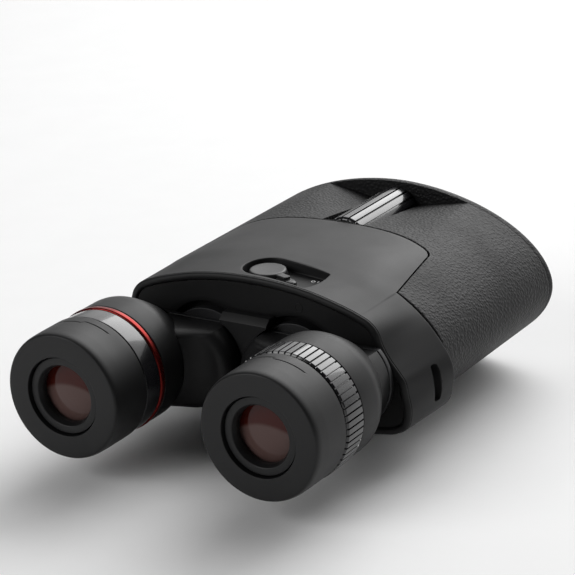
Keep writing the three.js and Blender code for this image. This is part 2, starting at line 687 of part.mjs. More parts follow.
// ---------- focus drive ----------
function focusCarriage() {
  const y1 = CARRIAGE_Y + CARRIAGE_THICK;
  const nutR = 3.9;
  const parts = SIDES.map(([, side]) =>
    disc(CELL_R, CARRIAGE_Y, y1).translate(side * OBJECTIVE_X, 0, OBJECTIVE_Z));
  parts.push(
    block(-20, 20, CARRIAGE_Y, y1, -4, 5),
    block(-nutR, nutR, CARRIAGE_Y, y1, 0, WHEEL_Z),
    disc(nutR, CARRIAGE_Y - 2, y1, 20).translate(0, 0, WHEEL_Z),
  );
  const bores = SIDES.map(([, side]) =>
    disc(CELL_R - 3, CARRIAGE_Y - 1, y1 + 1).translate(side * OBJECTIVE_X, 0, OBJECTIVE_Z));
  const screw = disc(SHAFT_R + RUN, CARRIAGE_Y - 5, y1 + 1, 20).translate(0, 0, WHEEL_Z);
  return cut(join(...parts), ...bores, screw);
}

function objectiveCell() {
  const y0 = CARRIAGE_Y + CARRIAGE_THICK + GAP;
  const y1 = y0 + CELL_LONG;
  const inner = CELL_R - CELL_WALL;
  return turned([
    [inner - 2, y0], [CELL_R, y0], [CELL_R, y1], [inner, y1], [inner, y1 - 9], [inner - 2, y1 - 9],
  ]);
}

// ---------- stabiliser ----------
const OVAL_POINTS = 32;
function ovalShape(halfX, halfZ, power) {
  const points = [];
  for (let i = 0; i < OVAL_POINTS; i++) {
    const angle = (i / OVAL_POINTS) * TURN;
    const c = Math.cos(angle);
    const s = Math.sin(angle);
    points.push(new THREE.Vector2(
      Math.sign(c) * Math.abs(c) ** (2 / power) * halfX,
      Math.sign(s) * Math.abs(s) ** (2 / power) * halfZ,
    ));
  }
  return new THREE.Shape(points);
}

const LOOP_HALF_Y = 2;
function gimbalLoop() {
  const power = 2.4;
  const outer = slab(ovalShape(LOOP_HALF_X, LOOP_HALF_Z, power), -LOOP_HALF_Y, LOOP_HALF_Y);
  const inner = slab(
    ovalShape(LOOP_HALF_X - LOOP_BAR, LOOP_HALF_Z - LOOP_BAR, power), -LOOP_HALF_Y - 1, LOOP_HALF_Y + 1);
  const pin = new THREE.CylinderGeometry(PIVOT_R, PIVOT_R, 4, 16).rotateX(Math.PI / 2);
  const top = pin.clone().translate(0, 0, LOOP_HALF_Z + 1);
  const bottom = pin.clone().translate(0, 0, -LOOP_HALF_Z - 1);
  const bearings = new THREE.CylinderGeometry(PIVOT_R + RUN, PIVOT_R + RUN, 140, 16).rotateZ(Math.PI / 2);
  return cut(join(cut(outer, inner), top, bottom), bearings).translate(0, GIMBAL_Y, GIMBAL_Z);
}

function gimbalCradle() {
  const half = 1.5;
  const body = slab(ovalShape(CRADLE_HALF_X, CRADLE_HALF_Z, 2.6), -half, half);
  const axle = new THREE.CylinderGeometry(PIVOT_R, PIVOT_R, 2 * LOOP_HALF_X - 2, 16).rotateZ(Math.PI / 2);
  const windows = SIDES.map(([, side]) =>
    block(side * PRISM.x - PRISM.wide / 2 - GAP, side * PRISM.x + PRISM.wide / 2 + GAP,
      -9, 9, -PRISM.high / 2 - GAP, PRISM.high / 2 + GAP));
  return cut(join(body, axle), ...windows).translate(0, GIMBAL_Y, GIMBAL_Z);
}

function erectingPrism(side) {
  const h = PRISM.high / 2;
  const w = PRISM.wide / 2;
  const c = 3;
  const shape = new THREE.Shape([
    new THREE.Vector2(-w + c, -h), new THREE.Vector2(w - c, -h), new THREE.Vector2(w, -h + c),
    new THREE.Vector2(w, h - c), new THREE.Vector2(w - c, h), new THREE.Vector2(-w + c, h),
    new THREE.Vector2(-w, h - c), new THREE.Vector2(-w, -h + c),
  ]);
  return slab(shape, -PRISM.deep / 2, PRISM.deep / 2).translate(side * PRISM.x, GIMBAL_Y, GIMBAL_Z);
}

// Bulkhead across the body with the light paths, and two tabs that hold the gimbal's pivots.
const TOP_TAB_Z = 19.9;
const BOTTOM_TAB_Z = -24.6;
const TAB_THICK = 2;
const BOARD_Z = 17;
function chassis() {
  const y0 = BULKHEAD_Y;
  const y1 = y0 + BULKHEAD_THICK;
  const ring = inset(bodyRing(y0), ARMOUR_WALL + 0.6);
  const wall = loft([y0, y1].map((y) => ({ y, ring })));
  const tabs = [TOP_TAB_Z, BOTTOM_TAB_Z].map((z) =>
    block(-13, 13, GIMBAL_Y - 4, y0 + 1, z, z + TAB_THICK));
  const cuts = SIDES.map(([, side]) => disc(13.5, y0 - 1, y1 + 1, 32).translate(side * 27, 0, OBJECTIVE_Z));
  const tubeR = BATTERY_R + TUBE_WALL + RUN;
  cuts.push(
    disc(tubeR + GAP, y0 - 1, y1 + 1, 32).translate(0, 0, BATTERY_Z),
    disc(SHAFT_R + RUN, y0 - 3, y1 + 1, 16).translate(0, 0, WHEEL_Z),
    block(-tubeR - GAP, tubeR + GAP, TUBE_REAR_Y - 1, y0 - 0.1, -BODY_H, 0),
    new THREE.CylinderGeometry(PIVOT_R + RUN, PIVOT_R + RUN, 90, 16).rotateX(Math.PI / 2)
      .translate(0, GIMBAL_Y, 0),
  );
  return cut(join(wall, ...tabs), ...cuts);
}

// ---------- power switch ----------
function switchKnob() {
  const angle = rad(SWITCH_LEVER_ANGLE);
  const floor = SWITCH_FLOOR_Z + GAP;
  const lever = new THREE.Shape();
  const half = SWITCH_LEVER_WIDE / 2;
  lever.moveTo(0, -half);
  lever.lineTo(SWITCH_LEVER_LONG - half, -half * 0.8);
  lever.absarc(SWITCH_LEVER_LONG - half, 0, half * 0.8, -Math.PI / 2, Math.PI / 2, false);
  lever.lineTo(0, half);
  lever.closePath();
  const arm = plate(lever, floor, SWITCH_TOP_Z - 1.1, 6).rotateZ(angle).translate(0, SWITCH_Y, 0);
  const top = plate(circleShape(0, SWITCH_Y, SWITCH_DISC_R), floor, SWITCH_TOP_Z);
  const stem = plate(circleShape(0, SWITCH_Y, SPINDLE_R), SPINDLE_FOOT_Z, floor + 1, 12);
  return join(top, arm, stem);
}

// ---------- battery ----------
const TUBE_OUT_R = BATTERY_R + RUN + TUBE_WALL;
const CAP_Y = LENGTH - 4;
const BATTERY_Y = CAP_Y - 1 - BATTERY_LONG;
const SPRING_ROOM = 7.1; // between the battery and the rear end of its tube
const TUBE_REAR_Y = BATTERY_Y - SPRING_ROOM;
function batteryTube() {
  const inner = BATTERY_R + RUN;
  return turned([
    [0, TUBE_REAR_Y], [TUBE_OUT_R, TUBE_REAR_Y], [TUBE_OUT_R, LENGTH - 1.8], [inner, LENGTH - 1.8],
    [inner, TUBE_REAR_Y + 1.2], [0, TUBE_REAR_Y + 1.2],
  ], 32);
}

function batterySpring() {
  const coils = 3.5;
  const stepsPerTurn = 9;
  const y0 = TUBE_REAR_Y + 1.2 + GAP + 0.5;
  const y1 = BATTERY_Y - GAP - 0.5;
  const points = [];
  const steps = Math.round(coils * stepsPerTurn);
  for (let i = 0; i <= steps; i++) {
    const angle = (i / stepsPerTurn) * TURN;
    const r = 5 - (2 * i) / steps;
    points.push(new THREE.Vector3(r * Math.cos(angle), y0 + ((y1 - y0) * i) / steps, r * Math.sin(angle)));
  }
  const wire = new THREE.Shape();
  wire.absarc(0, 0, 0.4, 0, TURN);
  return new THREE.ExtrudeGeometry(wire, {
    extrudePath: new THREE.CatmullRomCurve3(points), steps, curveSegments: 3, bevelEnabled: false,
  });
}

// ---------- assembly ----------
piece("front_armour", frontArmour(), "armour");
piece("rear_housing", rearHousing(), "shell");
piece("rear_wall", rearWall(), "inner");
piece("centre_bridge", centreBridge(), "shell");
piece("front_bezel", frontBezel(), "inner");
piece("chassis", chassis(), "black_metal");
piece("indicator_lens", disc(INDICATOR.r, WALL_FACE_Y + 0.6, WALL_FACE_Y + 4, 16), "glass",
  INDICATOR.x, INDICATOR.z);

for (const [name, side] of SIDES) {
  const windowY = LENGTH - 1.4 - GAP - WINDOW_THICK;
  const cellY = CARRIAGE_Y + CARRIAGE_THICK + GAP + CELL_LONG;
  const eye = side * EYE_X;
  piece(`objective_window_${name}`, disc(WINDOW_R, windowY, windowY + WINDOW_THICK, 32), "glass",
    side * OBJECTIVE_X, OBJECTIVE_Z);
  piece(`objective_cell_${name}`, objectiveCell(), "black_metal", side * OBJECTIVE_X, OBJECTIVE_Z);
  piece(`objective_lens_${name}`, lens(CELL_R - CELL_WALL - GAP, cellY - 6, 4, 2.4), "glass",
    side * OBJECTIVE_X, OBJECTIVE_Z);
  piece(`erecting_prism_${name}`, erectingPrism(side), "glass");
  piece(`arm_housing_${name}`, armHousing(side), "shell");
  piece(`hub_plate_${name}`, hubPlate(side), "black_metal");
  piece(`rhomboid_prism_${name}`, rhomboid(side), "glass");
  piece(`hub_gear_${name}`, hubGear(side), "brass");
  piece(`hub_nut_${name}`, tube(HUB_TUBE_R + 2.4, HUB_TUBE_R + GAP, GEAR_Y + GEAR_THICK + GAP,
    HUB_TUBE_END_Y - 0.5, 32), "metal", side * HUB_X, HUB_Z);
  piece(`ocular_cell_${name}`, ocularCell(), "inner", eye);
  piece(`eye_lens_${name}`, lens(OCULAR_R - 1 - GAP, 9.6, 3, 1.6), "glass", eye);
  piece(`eyecup_sleeve_${name}`, sleeve(), "black_metal", eye);
  piece(`eyecup_cam_${name}`, camRing(), "inner", eye);
  piece(`eyecup_${name}`, eyecup(), "cup", eye);
}
const bandEnd = BARREL_Y - GAP - RED_WIDE;
piece("barrel_band", tube(BAND_R, NECK_R + GAP, NECK_Y, bandEnd - GAP, 36), "gloss", -EYE_X);
piece("red_ring", tube(RED_R, NECK_R + GAP, bandEnd, bandEnd + RED_WIDE, 36), "red", -EYE_X);
piece("dioptre_ring", ribbed(DIOPTRE_R, 0.55, DIOPTRE_RIBS, 0.2, NECK_R + RUN, NECK_Y, NECK_Y + DIOPTRE_WIDE),
  "gloss", EYE_X);

const wheelY = TONGUE_FRONT_Y + 1.2;
const wheelEnd = LENGTH - RIM_THICK - GAP - 0.1;
piece("focus_wheel", ribbed(WHEEL_R, 0.7, WHEEL_RIBS, 0.16, SHAFT_R + GAP, wheelY, wheelEnd), "gloss", 0,
  WHEEL_Z);
piece("focus_shaft", disc(SHAFT_R, BULKHEAD_Y - 0.5, LENGTH - 1.9, 20), "metal", 0, WHEEL_Z);
piece("focus_carriage", focusCarriage(), "black_metal");

piece("gimbal_loop", gimbalLoop(), "metal");
piece("gimbal_cradle", gimbalCradle(), "black_metal");
piece("yaw_motor", new THREE.CylinderGeometry(3.6, 3.6, 9, 24).rotateX(Math.PI / 2)
  .translate(0, 92.5, 12.8), "metal");
piece("pitch_motor", new THREE.CylinderGeometry(3.6, 3.6, 15, 24).rotateZ(Math.PI / 2)
  .translate(0, 92.5, 0), "metal");
piece("circuit_board", block(-20, 20, 71, 79.5, BOARD_Z, BOARD_Z + 1.2), "board");

piece("power_switch", switchKnob(), "shell");
const rotorShape = circleShape(0, SWITCH_Y, ROTOR.r, [hole(0, SWITCH_Y, SPINDLE_R + GAP)]);
piece("switch_rotor", plate(rotorShape, ROTOR.bottom, ROTOR.top, 10), "brass");

piece("battery_tube", batteryTube(), "inner", 0, BATTERY_Z);
piece("battery", disc(BATTERY_R, BATTERY_Y, BATTERY_Y + BATTERY_LONG, 28), "battery", 0, BATTERY_Z);
piece("battery_spring", batterySpring(), "metal", 0, BATTERY_Z);
piece("battery_cap", disc(BATTERY_R, CAP_Y - 0.6, LENGTH - 0.3, 32), "inner", 0, BATTERY_Z);

const SCREW = { r: 2.2, head: 1.3, x: 42, high: 8, low: -9 };
const screwPlaces = [[-SCREW.x, SCREW.high], [SCREW.x, SCREW.high], [-SCREW.x, SCREW.low], [SCREW.x, SCREW.low]];
for (const [i, [x, z]] of screwPlaces.entries()) {
  const head = disc(SCREW.r, BULKHEAD_Y - GAP - SCREW.head, BULKHEAD_Y - GAP, 16);
  piece(`chassis_screw_${i + 1}`, head, "metal", x, z);
}

export default part;
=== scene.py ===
"""Compact image-stabilised binoculars, built as a set of add-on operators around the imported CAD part.

All sizes below are millimetres from the eyepiece axes: x to the user's right, y forward from the
eyecup faces, z up. Objects are made in metres, with the resting surface at z = 0.
"""

import json

import bpy
import numpy as np
from bpy.props import FloatProperty, FloatVectorProperty, PointerProperty
from mathutils import Matrix

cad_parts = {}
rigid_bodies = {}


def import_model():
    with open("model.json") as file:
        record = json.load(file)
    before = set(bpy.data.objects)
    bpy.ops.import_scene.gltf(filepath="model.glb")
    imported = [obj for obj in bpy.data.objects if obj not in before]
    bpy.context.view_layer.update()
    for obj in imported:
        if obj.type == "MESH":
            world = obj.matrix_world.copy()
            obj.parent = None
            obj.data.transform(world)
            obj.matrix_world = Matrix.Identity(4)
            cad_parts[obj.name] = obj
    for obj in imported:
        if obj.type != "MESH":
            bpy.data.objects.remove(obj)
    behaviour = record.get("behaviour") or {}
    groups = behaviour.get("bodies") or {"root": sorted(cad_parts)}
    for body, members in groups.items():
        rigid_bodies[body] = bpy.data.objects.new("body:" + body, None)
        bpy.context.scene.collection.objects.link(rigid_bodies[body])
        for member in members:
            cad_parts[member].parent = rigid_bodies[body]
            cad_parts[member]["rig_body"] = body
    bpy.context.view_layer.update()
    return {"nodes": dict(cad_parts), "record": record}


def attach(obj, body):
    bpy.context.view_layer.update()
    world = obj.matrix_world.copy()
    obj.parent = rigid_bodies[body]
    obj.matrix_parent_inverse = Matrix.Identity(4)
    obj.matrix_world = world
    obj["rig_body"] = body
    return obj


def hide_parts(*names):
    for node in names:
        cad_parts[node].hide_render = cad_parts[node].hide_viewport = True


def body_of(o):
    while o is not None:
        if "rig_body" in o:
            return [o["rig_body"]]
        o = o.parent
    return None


bl_info = {
    "name": "Binoculars Builder",
    "version": (1, 0, 0),
    "blender": (4, 5, 0),
    "location": "3D View > Sidebar > Binoculars",
    "description": "Builds the visible pieces, finishes and studio of a pair of binoculars",
    "category": "Object",
}

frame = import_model()

# ---------- fixed places shared with the CAD part ----------
AXIS_HEIGHT = 29.2
HALF_LENGTH = 75.3
BODY_A = 56.4
BODY_B = 29.7
BODY_POWER = 1.9
BODY_MID_Z = -0.58
BELLY_Z = -29.2
RIM_REAR_Y = 147.5
VALLEY_DEPTH = 2.8
VALLEY_HALF = 36.0
TROUGH_DEPTH = 7.1
TROUGH_HALF = 27.0
COLLAR_REAR_Y = 53.0
SEAM_Y = 75.4
TONGUE_HALF = 39.4
TONGUE_TAPER = 4.0
TONGUE_FRONT_Y = 110.4
TONGUE_BOW = 4.6
TONGUE_CORNER = 4.0
GAP = 0.3
SLOT = (67.4, -4.2)
SLOT_HALF = (1.75, 5.95)
SLOT_DEPTH = 2.8
EYE_X = 35.0
HUB = (16.13, -1.36)
HUB_R = 15.0
ARM_TIP_R = 15.5
ARM_TOP_Z = 10.74
OBJECTIVE = (29.5, -1.5)
OBJECTIVE_R = 14.6
EYE_LENS_R = 11.0
EYE_LENS_Y = 4.2
EYE_LENS_BULGE = 1.4
CUP_R = 20.42
BATTERY_Z = -16.5
WHEEL_R = 7.7
WHEEL_Z = 19.8
WELL_HALF = 8.1
WELL_FLOOR_Z = 11.0
SWITCH_Y = 63.9
RECESS_R = 8.1
RECESS_REACH = 20.6
RECESS_TIP_R = 1.2
RECESS_SIDES = (-24.0, 11.0)
LEVER_ANGLE = -19.0
SWITCH_FLOOR_Z = 22.7
SIDES = (("left", -1.0), ("right", 1.0))
TURN = 2 * np.pi

COLLAR_REAR = np.array([
    (0, 26.3), (10.8, 25.85), (21.5, 24.4), (32.3, 21.7), (38.5, 19.6), (42.1, 17.9),
    (44.6, 15.1), (46.1, 11), (48.4, 7), (51.5, 3.2), (53.6, 0.2), (54.6, -4.5), (55.4, -9),
    (54.3, -14.3), (50.5, -17), (45, -18.2), (28, -20), (0, -20.4),
])
COLLAR_SEAM = np.array([
    (0, 26.32), (10.8, 25.98), (21.5, 25.15), (32.3, 23.1), (39.2, 20), (42.8, 17.8),
    (46.1, 15.4), (49, 12.9), (51.6, 10.3), (55.2, 5.7), (57.7, 1.7), (59, -2.6),
    (58.6, -7.75), (56.8, -13.1), (51.5, -17.2), (45, -19), (28, -25.9), (0, -29.2),
])


# ---------- numbers ----------
def smooth(t):
    """Cubic ease 3t^2 - 2t^3 of t held between 0 and 1."""
    t = np.clip(t, 0.0, 1.0)
    return t * t * (3.0 - 2.0 * t)


def soften(corners, radius, steps=5):
    """Closed outline whose corner P becomes the quadratic curve (1-t)^2 A + 2t(1-t) P + t^2 B.

    A and B lie on the two edges at P, the corner's radius away or under half of the edge.
    """
    p = np.asarray(corners, float)
    before, after = np.roll(p, 1, 0) - p, np.roll(p, -1, 0) - p
    reach = np.broadcast_to(np.asarray(radius, float), len(p))
    ends = []
    for way in (before, after):
        long = np.linalg.norm(way, axis=1)
        ends.append(p + way * (np.minimum(reach, 0.46 * long) / long)[:, None])
    t = np.linspace(0, 1, steps + 1)[None, :, None]
    a, b = ends[0][:, None], ends[1][:, None]
    return ((1 - t) ** 2 * a + 2 * t * (1 - t) * p[:, None] + t**2 * b).reshape(-1, 2)


def spline(points, u):
    """Catmull-Rom curve through half an outline, mirrored in x at both ends, at parameter u."""
    p = np.vstack([points[1] * (-1, 1), points, points[-2] * (-1, 1)])
    k = np.clip(np.floor(u).astype(int), 0, len(points) - 2)
    t = (u - k)[:, None]
    p0, p1, p2, p3 = p[k], p[k + 1], p[k + 2], p[k + 3]
    return 0.5 * (2 * p1 + (p2 - p0) * t + (2 * p0 - 5 * p1 + 4 * p2 - p3) * t**2
                  + (3 * p1 - p0 - 3 * p2 + p3) * t**3)


def outward(ring, middle):
    """Unit normals in the x-z plane of a ring of points, turned away from a middle point."""
    along = np.roll(ring, -1, 0) - np.roll(ring, 1, 0)
    normal = np.stack([along[:, 1], -along[:, 0]], 1)
    normal /= np.maximum(np.linalg.norm(normal, axis=1, keepdims=True), 1e-9)
    sign = np.where(((ring - middle) * normal).sum(1) < 0, -1.0, 1.0)
    return normal * sign[:, None]


def inset_half(half, distance):
    """Right half of an outline moved inward along its normals, with its ends kept on x = 0."""
    whole = np.vstack([half, half[-2:0:-1] * (-1, 1)])
    moved = (whole - outward(whole, whole.mean(0)) * distance)[:len(half)]
    moved[[0, -1], 0] = 0
    return np.column_stack([np.maximum(moved[:, 0], 0), moved[:, 1]])


def polar_reach(outline, centre, angles):
    """Distance from a centre to a closed outline along each angle, by interpolation."""
    loop = np.vstack([outline, outline[:1]])
    step = np.r_[0, np.cumsum(np.linalg.norm(np.diff(loop, axis=0), axis=1))]
    even = np.linspace(0, step[-1], 3000, endpoint=False)
    dense = np.stack([np.interp(even, step, loop[:, i]) for i in (0, 1)], 1) - centre
    turn = np.arctan2(dense[:, 1], dense[:, 0])
    order = np.argsort(turn)
    return np.interp(angles, turn[order], np.hypot(*dense.T)[order], period=TURN)


# ---------- meshes ----------
class Skin:
    """Gathers grids of points into one welded mesh whose faces look outward."""

    def __init__(self):
        self.points, self.faces, self.count = [], [], 0

    def grid(self, p, rows_close=False, cols_close=True, centre=None, keep=None):
        """Quads between neighbours of a (rows, columns, 3) grid, flipped if their volume about
        the centre, the sum of place dot area normal, is negative. keep marks the quads to keep."""
        rows, cols = p.shape[:2]
        index = np.arange(rows * cols).reshape(rows, cols)
        if rows_close:
            index = np.vstack([index, index[:1]])
        if cols_close:
            index = np.hstack([index, index[:, :1]])
        quads = np.stack([index[:-1, :-1], index[:-1, 1:], index[1:, 1:], index[1:, :-1]], -1)
        quads = quads[keep] if keep is not None else quads.reshape(-1, 4)
        flat = p.reshape(-1, 3)
        a, b, c, d = (flat[quads[:, i]] for i in range(4))
        middle = flat.mean(0) if centre is None else np.asarray(centre, float)
        volume = (np.cross(c - a, d - b) * ((a + b + c + d) / 4 - middle)).sum()
        if volume < 0:
            quads = quads[:, ::-1]
        self.points.append(flat)
        self.faces.append(quads + self.count)
        self.count += len(flat)
        return self

    def mirror(self):
        """Adds the same skin reflected in x = 0."""
        points = [p * (-1, 1, 1) for p in self.points]
        faces = [f[:, ::-1] + self.count for f in self.faces]
        self.points += points
        self.faces += faces
        self.count *= 2
        return self

    def mesh(self, name, sharp):
        """Welds equal points, drops the doubled corner of each pinched quad, and shades smooth
        up to the sharp angle in degrees."""
        points = np.vstack(self.points)
        quads = np.vstack(self.faces)
        _, first, to = np.unique(np.round(points, 4), axis=0, return_index=True, return_inverse=True)
        quads = to.reshape(-1)[quads]
        points = points[first]
        same = quads == np.roll(quads, -1, 1)
        whole = quads[~same.any(1) & (quads[:, 0] != quads[:, 2]) & (quads[:, 1] != quads[:, 3])]
        pinched = quads[same.sum(1) == 1]
        at = (same[same.sum(1) == 1].argmax(1)[:, None] + (1, 2, 3)) % 4
        triangles = np.take_along_axis(pinched, at, 1)
        place = (points + (0, -HALF_LENGTH, AXIS_HEIGHT)) * 0.001
        mesh = bpy.data.meshes.new(name)
        mesh.from_pydata(place.tolist(), [], whole.tolist() + triangles.tolist())
        mesh.validate()
        mesh.shade_smooth()
        mesh.set_sharp_from_angle(angle=np.radians(sharp))
        return mesh


def lathe(profile, x=0.0, z=0.0, segments=128, carve=None):
    """Grid of a closed profile of (radius, y) turned about the y-parallel axis at (x, z):
    x + r cos a, y, z + r sin a. carve(r, y, a) may change the radius."""
    angle = np.arange(segments) / segments * TURN
    r = np.broadcast_to(profile[:, :1], (len(profile), segments))
    y = np.broadcast_to(profile[:, 1:], r.shape)
    if carve:
        r = carve(r, y, angle[None])
    return np.stack([x + r * np.cos(angle), y, z + r * np.sin(angle)], -1)


def turned(profile, radius, x=0.0, z=0.0, segments=128, carve=None):
    """Skin of one softened profile turned about its axis."""
    grid = lathe(soften(profile, radius), x, z, segments, carve)
    return Skin().grid(grid, rows_close=True)


def place(name, skin, node, slot, material, sharp=40.0, bevel=0.0):
    """Makes the object of a skin, sets its finish, and lets it ride on its CAD node's body."""
    obj = bpy.data.objects.new(name, skin.mesh(name, sharp))
    bpy.context.scene.collection.objects.link(obj)
    obj.data.materials.append(material)
    if bevel:
        edge = obj.modifiers.new("edge", "BEVEL")
        edge.width = bevel * 0.001
        edge.segments = 2
        edge.limit_method = "ANGLE"
        edge.angle_limit = np.radians(35)
        edge.harden_normals = False
    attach(obj, body_of(frame["nodes"][node])[0])
    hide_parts(node)
    return obj


# ---------- body surfaces ----------
def body_half_height(x):
    """Half height of the body's section: B (1 - |x/A|^n)^(1/n)."""
    inside = np.clip(1 - np.abs(x / BODY_A) ** BODY_POWER, 0, 1)
    return BODY_B * inside ** (1 / BODY_POWER)


def top_drop(x, y):
    """Depth lost along the top: a smooth channel that turns into the wheel's V-shaped trough."""
    across = np.abs(x)
    valley = VALLEY_DEPTH * np.clip(1 - (across / VALLEY_HALF) ** 2, 0, 1) ** 2
    trough = TROUGH_DEPTH * np.clip((TROUGH_HALF - across) / (TROUGH_HALF - WHEEL_R), 0, 1)
    share = np.clip((y - TONGUE_FRONT_Y) / (RIM_REAR_Y - TONGUE_FRONT_Y), 0, 1)
    return valley * (1 - share) + trough * share


def tongue_edge(x, grow=0.0):
    """Front edge of the tongue at |x|: a side line, a rounded corner and a shallow bow."""
    half = TONGUE_HALF + grow
    side = half - TONGUE_TAPER
    front = TONGUE_FRONT_Y + grow
    corner = front - TONGUE_BOW
    turn = side - TONGUE_CORNER, corner + 0.9
    t = np.linspace(0, 1, 24)[:, None]

    def bend(a, b, c):
        """Quadratic curve (1-t)^2 a + 2t(1-t) b + t^2 c."""
        return (1 - t) ** 2 * np.array(a) + 2 * t * (1 - t) * np.array(b) + t**2 * np.array(c)

    path = np.vstack([
        [(half, SEAM_Y)],
        bend((side, corner - TONGUE_CORNER), (side, corner), turn),
        bend(turn, (half / 2, front), (0, front)),
    ])[::-1]
    return np.where(np.abs(x) > half, SEAM_Y + grow, np.interp(np.abs(x), path[:, 0], path[:, 1]))


def armour_columns():
    """x and side (+1 top, -1 bottom) of each column round the body, dense at tongue and wheel."""
    half = np.r_[
        np.linspace(0, 7.2, 8), 7.8, 8.0, WELL_HALF, 8.25, 8.6, np.linspace(9.4, 26.2, 22), 26.8, 27.2,
        np.linspace(28, 34.6, 9), np.linspace(35.0, TONGUE_HALF + GAP, 20), TONGUE_HALF + GAP + 0.02,
        np.linspace(40.2, 42, 3),
    ]
    start = np.arccos((42 / BODY_A) ** (BODY_POWER / 2))
    side = np.linspace(start, -np.pi / 2, 62)[1:-1]
    x_side = np.abs(np.cos(side)) ** (2 / BODY_POWER) * BODY_A
    x = np.r_[half, x_side, 0.0, -x_side[::-1], -half[:0:-1]]
    up = np.r_[np.ones(len(half)), np.sign(np.sin(side)), -1.0,
               np.sign(np.sin(side[::-1])), np.ones(len(half) - 1)]
    return x, up


def armour_skin():
    """Body section swept along y, with a well for the wheel, a front rim and turned-in edges."""
    x, up = armour_columns()
    plain = np.stack([x, np.maximum(BODY_MID_Z + up * body_half_height(x), BELLY_Z)], 1)
    normal = outward(plain, np.array([0.0, BODY_MID_Z]))
    start = np.where(up > 0, tongue_edge(x, GAP), SEAM_Y + GAP)
    ends = (0.0, 1.6), (0.0, 0.45), (0.08, 0.18), (0.25, 0.04), (0.45, 0.0)
    t = np.r_[0, 0.006, 0.014, 0.03, np.linspace(0.06, 0.985, 44), 0.993, 0.9985, 1.0]
    rows = []
    for ahead, inset in ends[:-1]:
        rows.append((start + ahead, inset))
    for share in t:
        rows.append((start + 0.45 + share * (RIM_REAR_Y - 0.05 - start - 0.45), 0.0))
    grid = []
    for y, inset in rows:
        z = plain[:, 1] - np.where(up > 0, top_drop(x, y), 0)
        well = (np.abs(x) < WELL_HALF - 0.05) & (up > 0) & (y > start + 0.5) & (y < RIM_REAR_Y - 0.1)
        z = np.where(well, WELL_FLOOR_Z, z)
        grid.append(np.stack([x - normal[:, 0] * inset, y, np.maximum(z - normal[:, 1] * inset, BELLY_Z)], 1))
    rim = ((147.5, 0.35), (147.52, 0.12), (147.7, 0), (149.2, 0), (149.7, 0.03), (150.1, 0.14),
           (150.38, 0.36), (150.55, 0.65), (150.6, 1.0), (150.6, 1.8), (150.5, 2.15), (150.2, 2.35),
           (148.6, 2.4))
    for y, inset in rim:
        z = np.maximum(plain[:, 1] - normal[:, 1] * inset, BELLY_Z + min(inset, 2.0))
        grid.append(np.stack([x - normal[:, 0] * inset, np.full(len(x), y), z], 1))
    return Skin().grid(np.array(grid), centre=(0, 115, 0))


def collar_top(x, y):
    """Height of the rear housing's upper side: blend of the rear and seam outlines along y,
    easing into the body's own section ahead of the switch."""
    share = np.clip((y - COLLAR_REAR_Y) / (SEAM_Y - COLLAR_REAR_Y), 0, 1)
    u = np.linspace(0, 5, 400)
    rear, seam = spline(COLLAR_REAR, u), spline(COLLAR_SEAM, u)
    across = np.abs(x)
    z_rear = np.interp(across, rear[:, 0], rear[:, 1])
    z_seam = np.interp(across, seam[:, 0], seam[:, 1])
    section = BODY_MID_Z + body_half_height(x) - top_drop(x, SEAM_Y)
    ease = smooth((y - 66) / 14)
    return (z_rear * (1 - share) + z_seam * share) * (1 - ease) + section * ease


def switch_outline(angles):
    """Reach of the switch recess from its centre: the hull of a round and of small rounds set on
    an arc at the far end of the lever's travel."""
    way = np.linspace(0, TURN, 1440, endpoint=False)
    way = np.stack([np.cos(way), np.sin(way)], 1)
    best, where = np.full(len(way), RECESS_R), way * RECESS_R
    for side in np.radians(np.linspace(*RECESS_SIDES, 5)):
        middle = (RECESS_REACH - RECESS_TIP_R) * np.array([np.cos(side), np.sin(side)])
        support = way @ middle + RECESS_TIP_R
        where = np.where((support > best)[:, None], middle + RECESS_TIP_R * way, where)
        best = np.maximum(best, support)
    return polar_reach(where, np.zeros(2), angles)


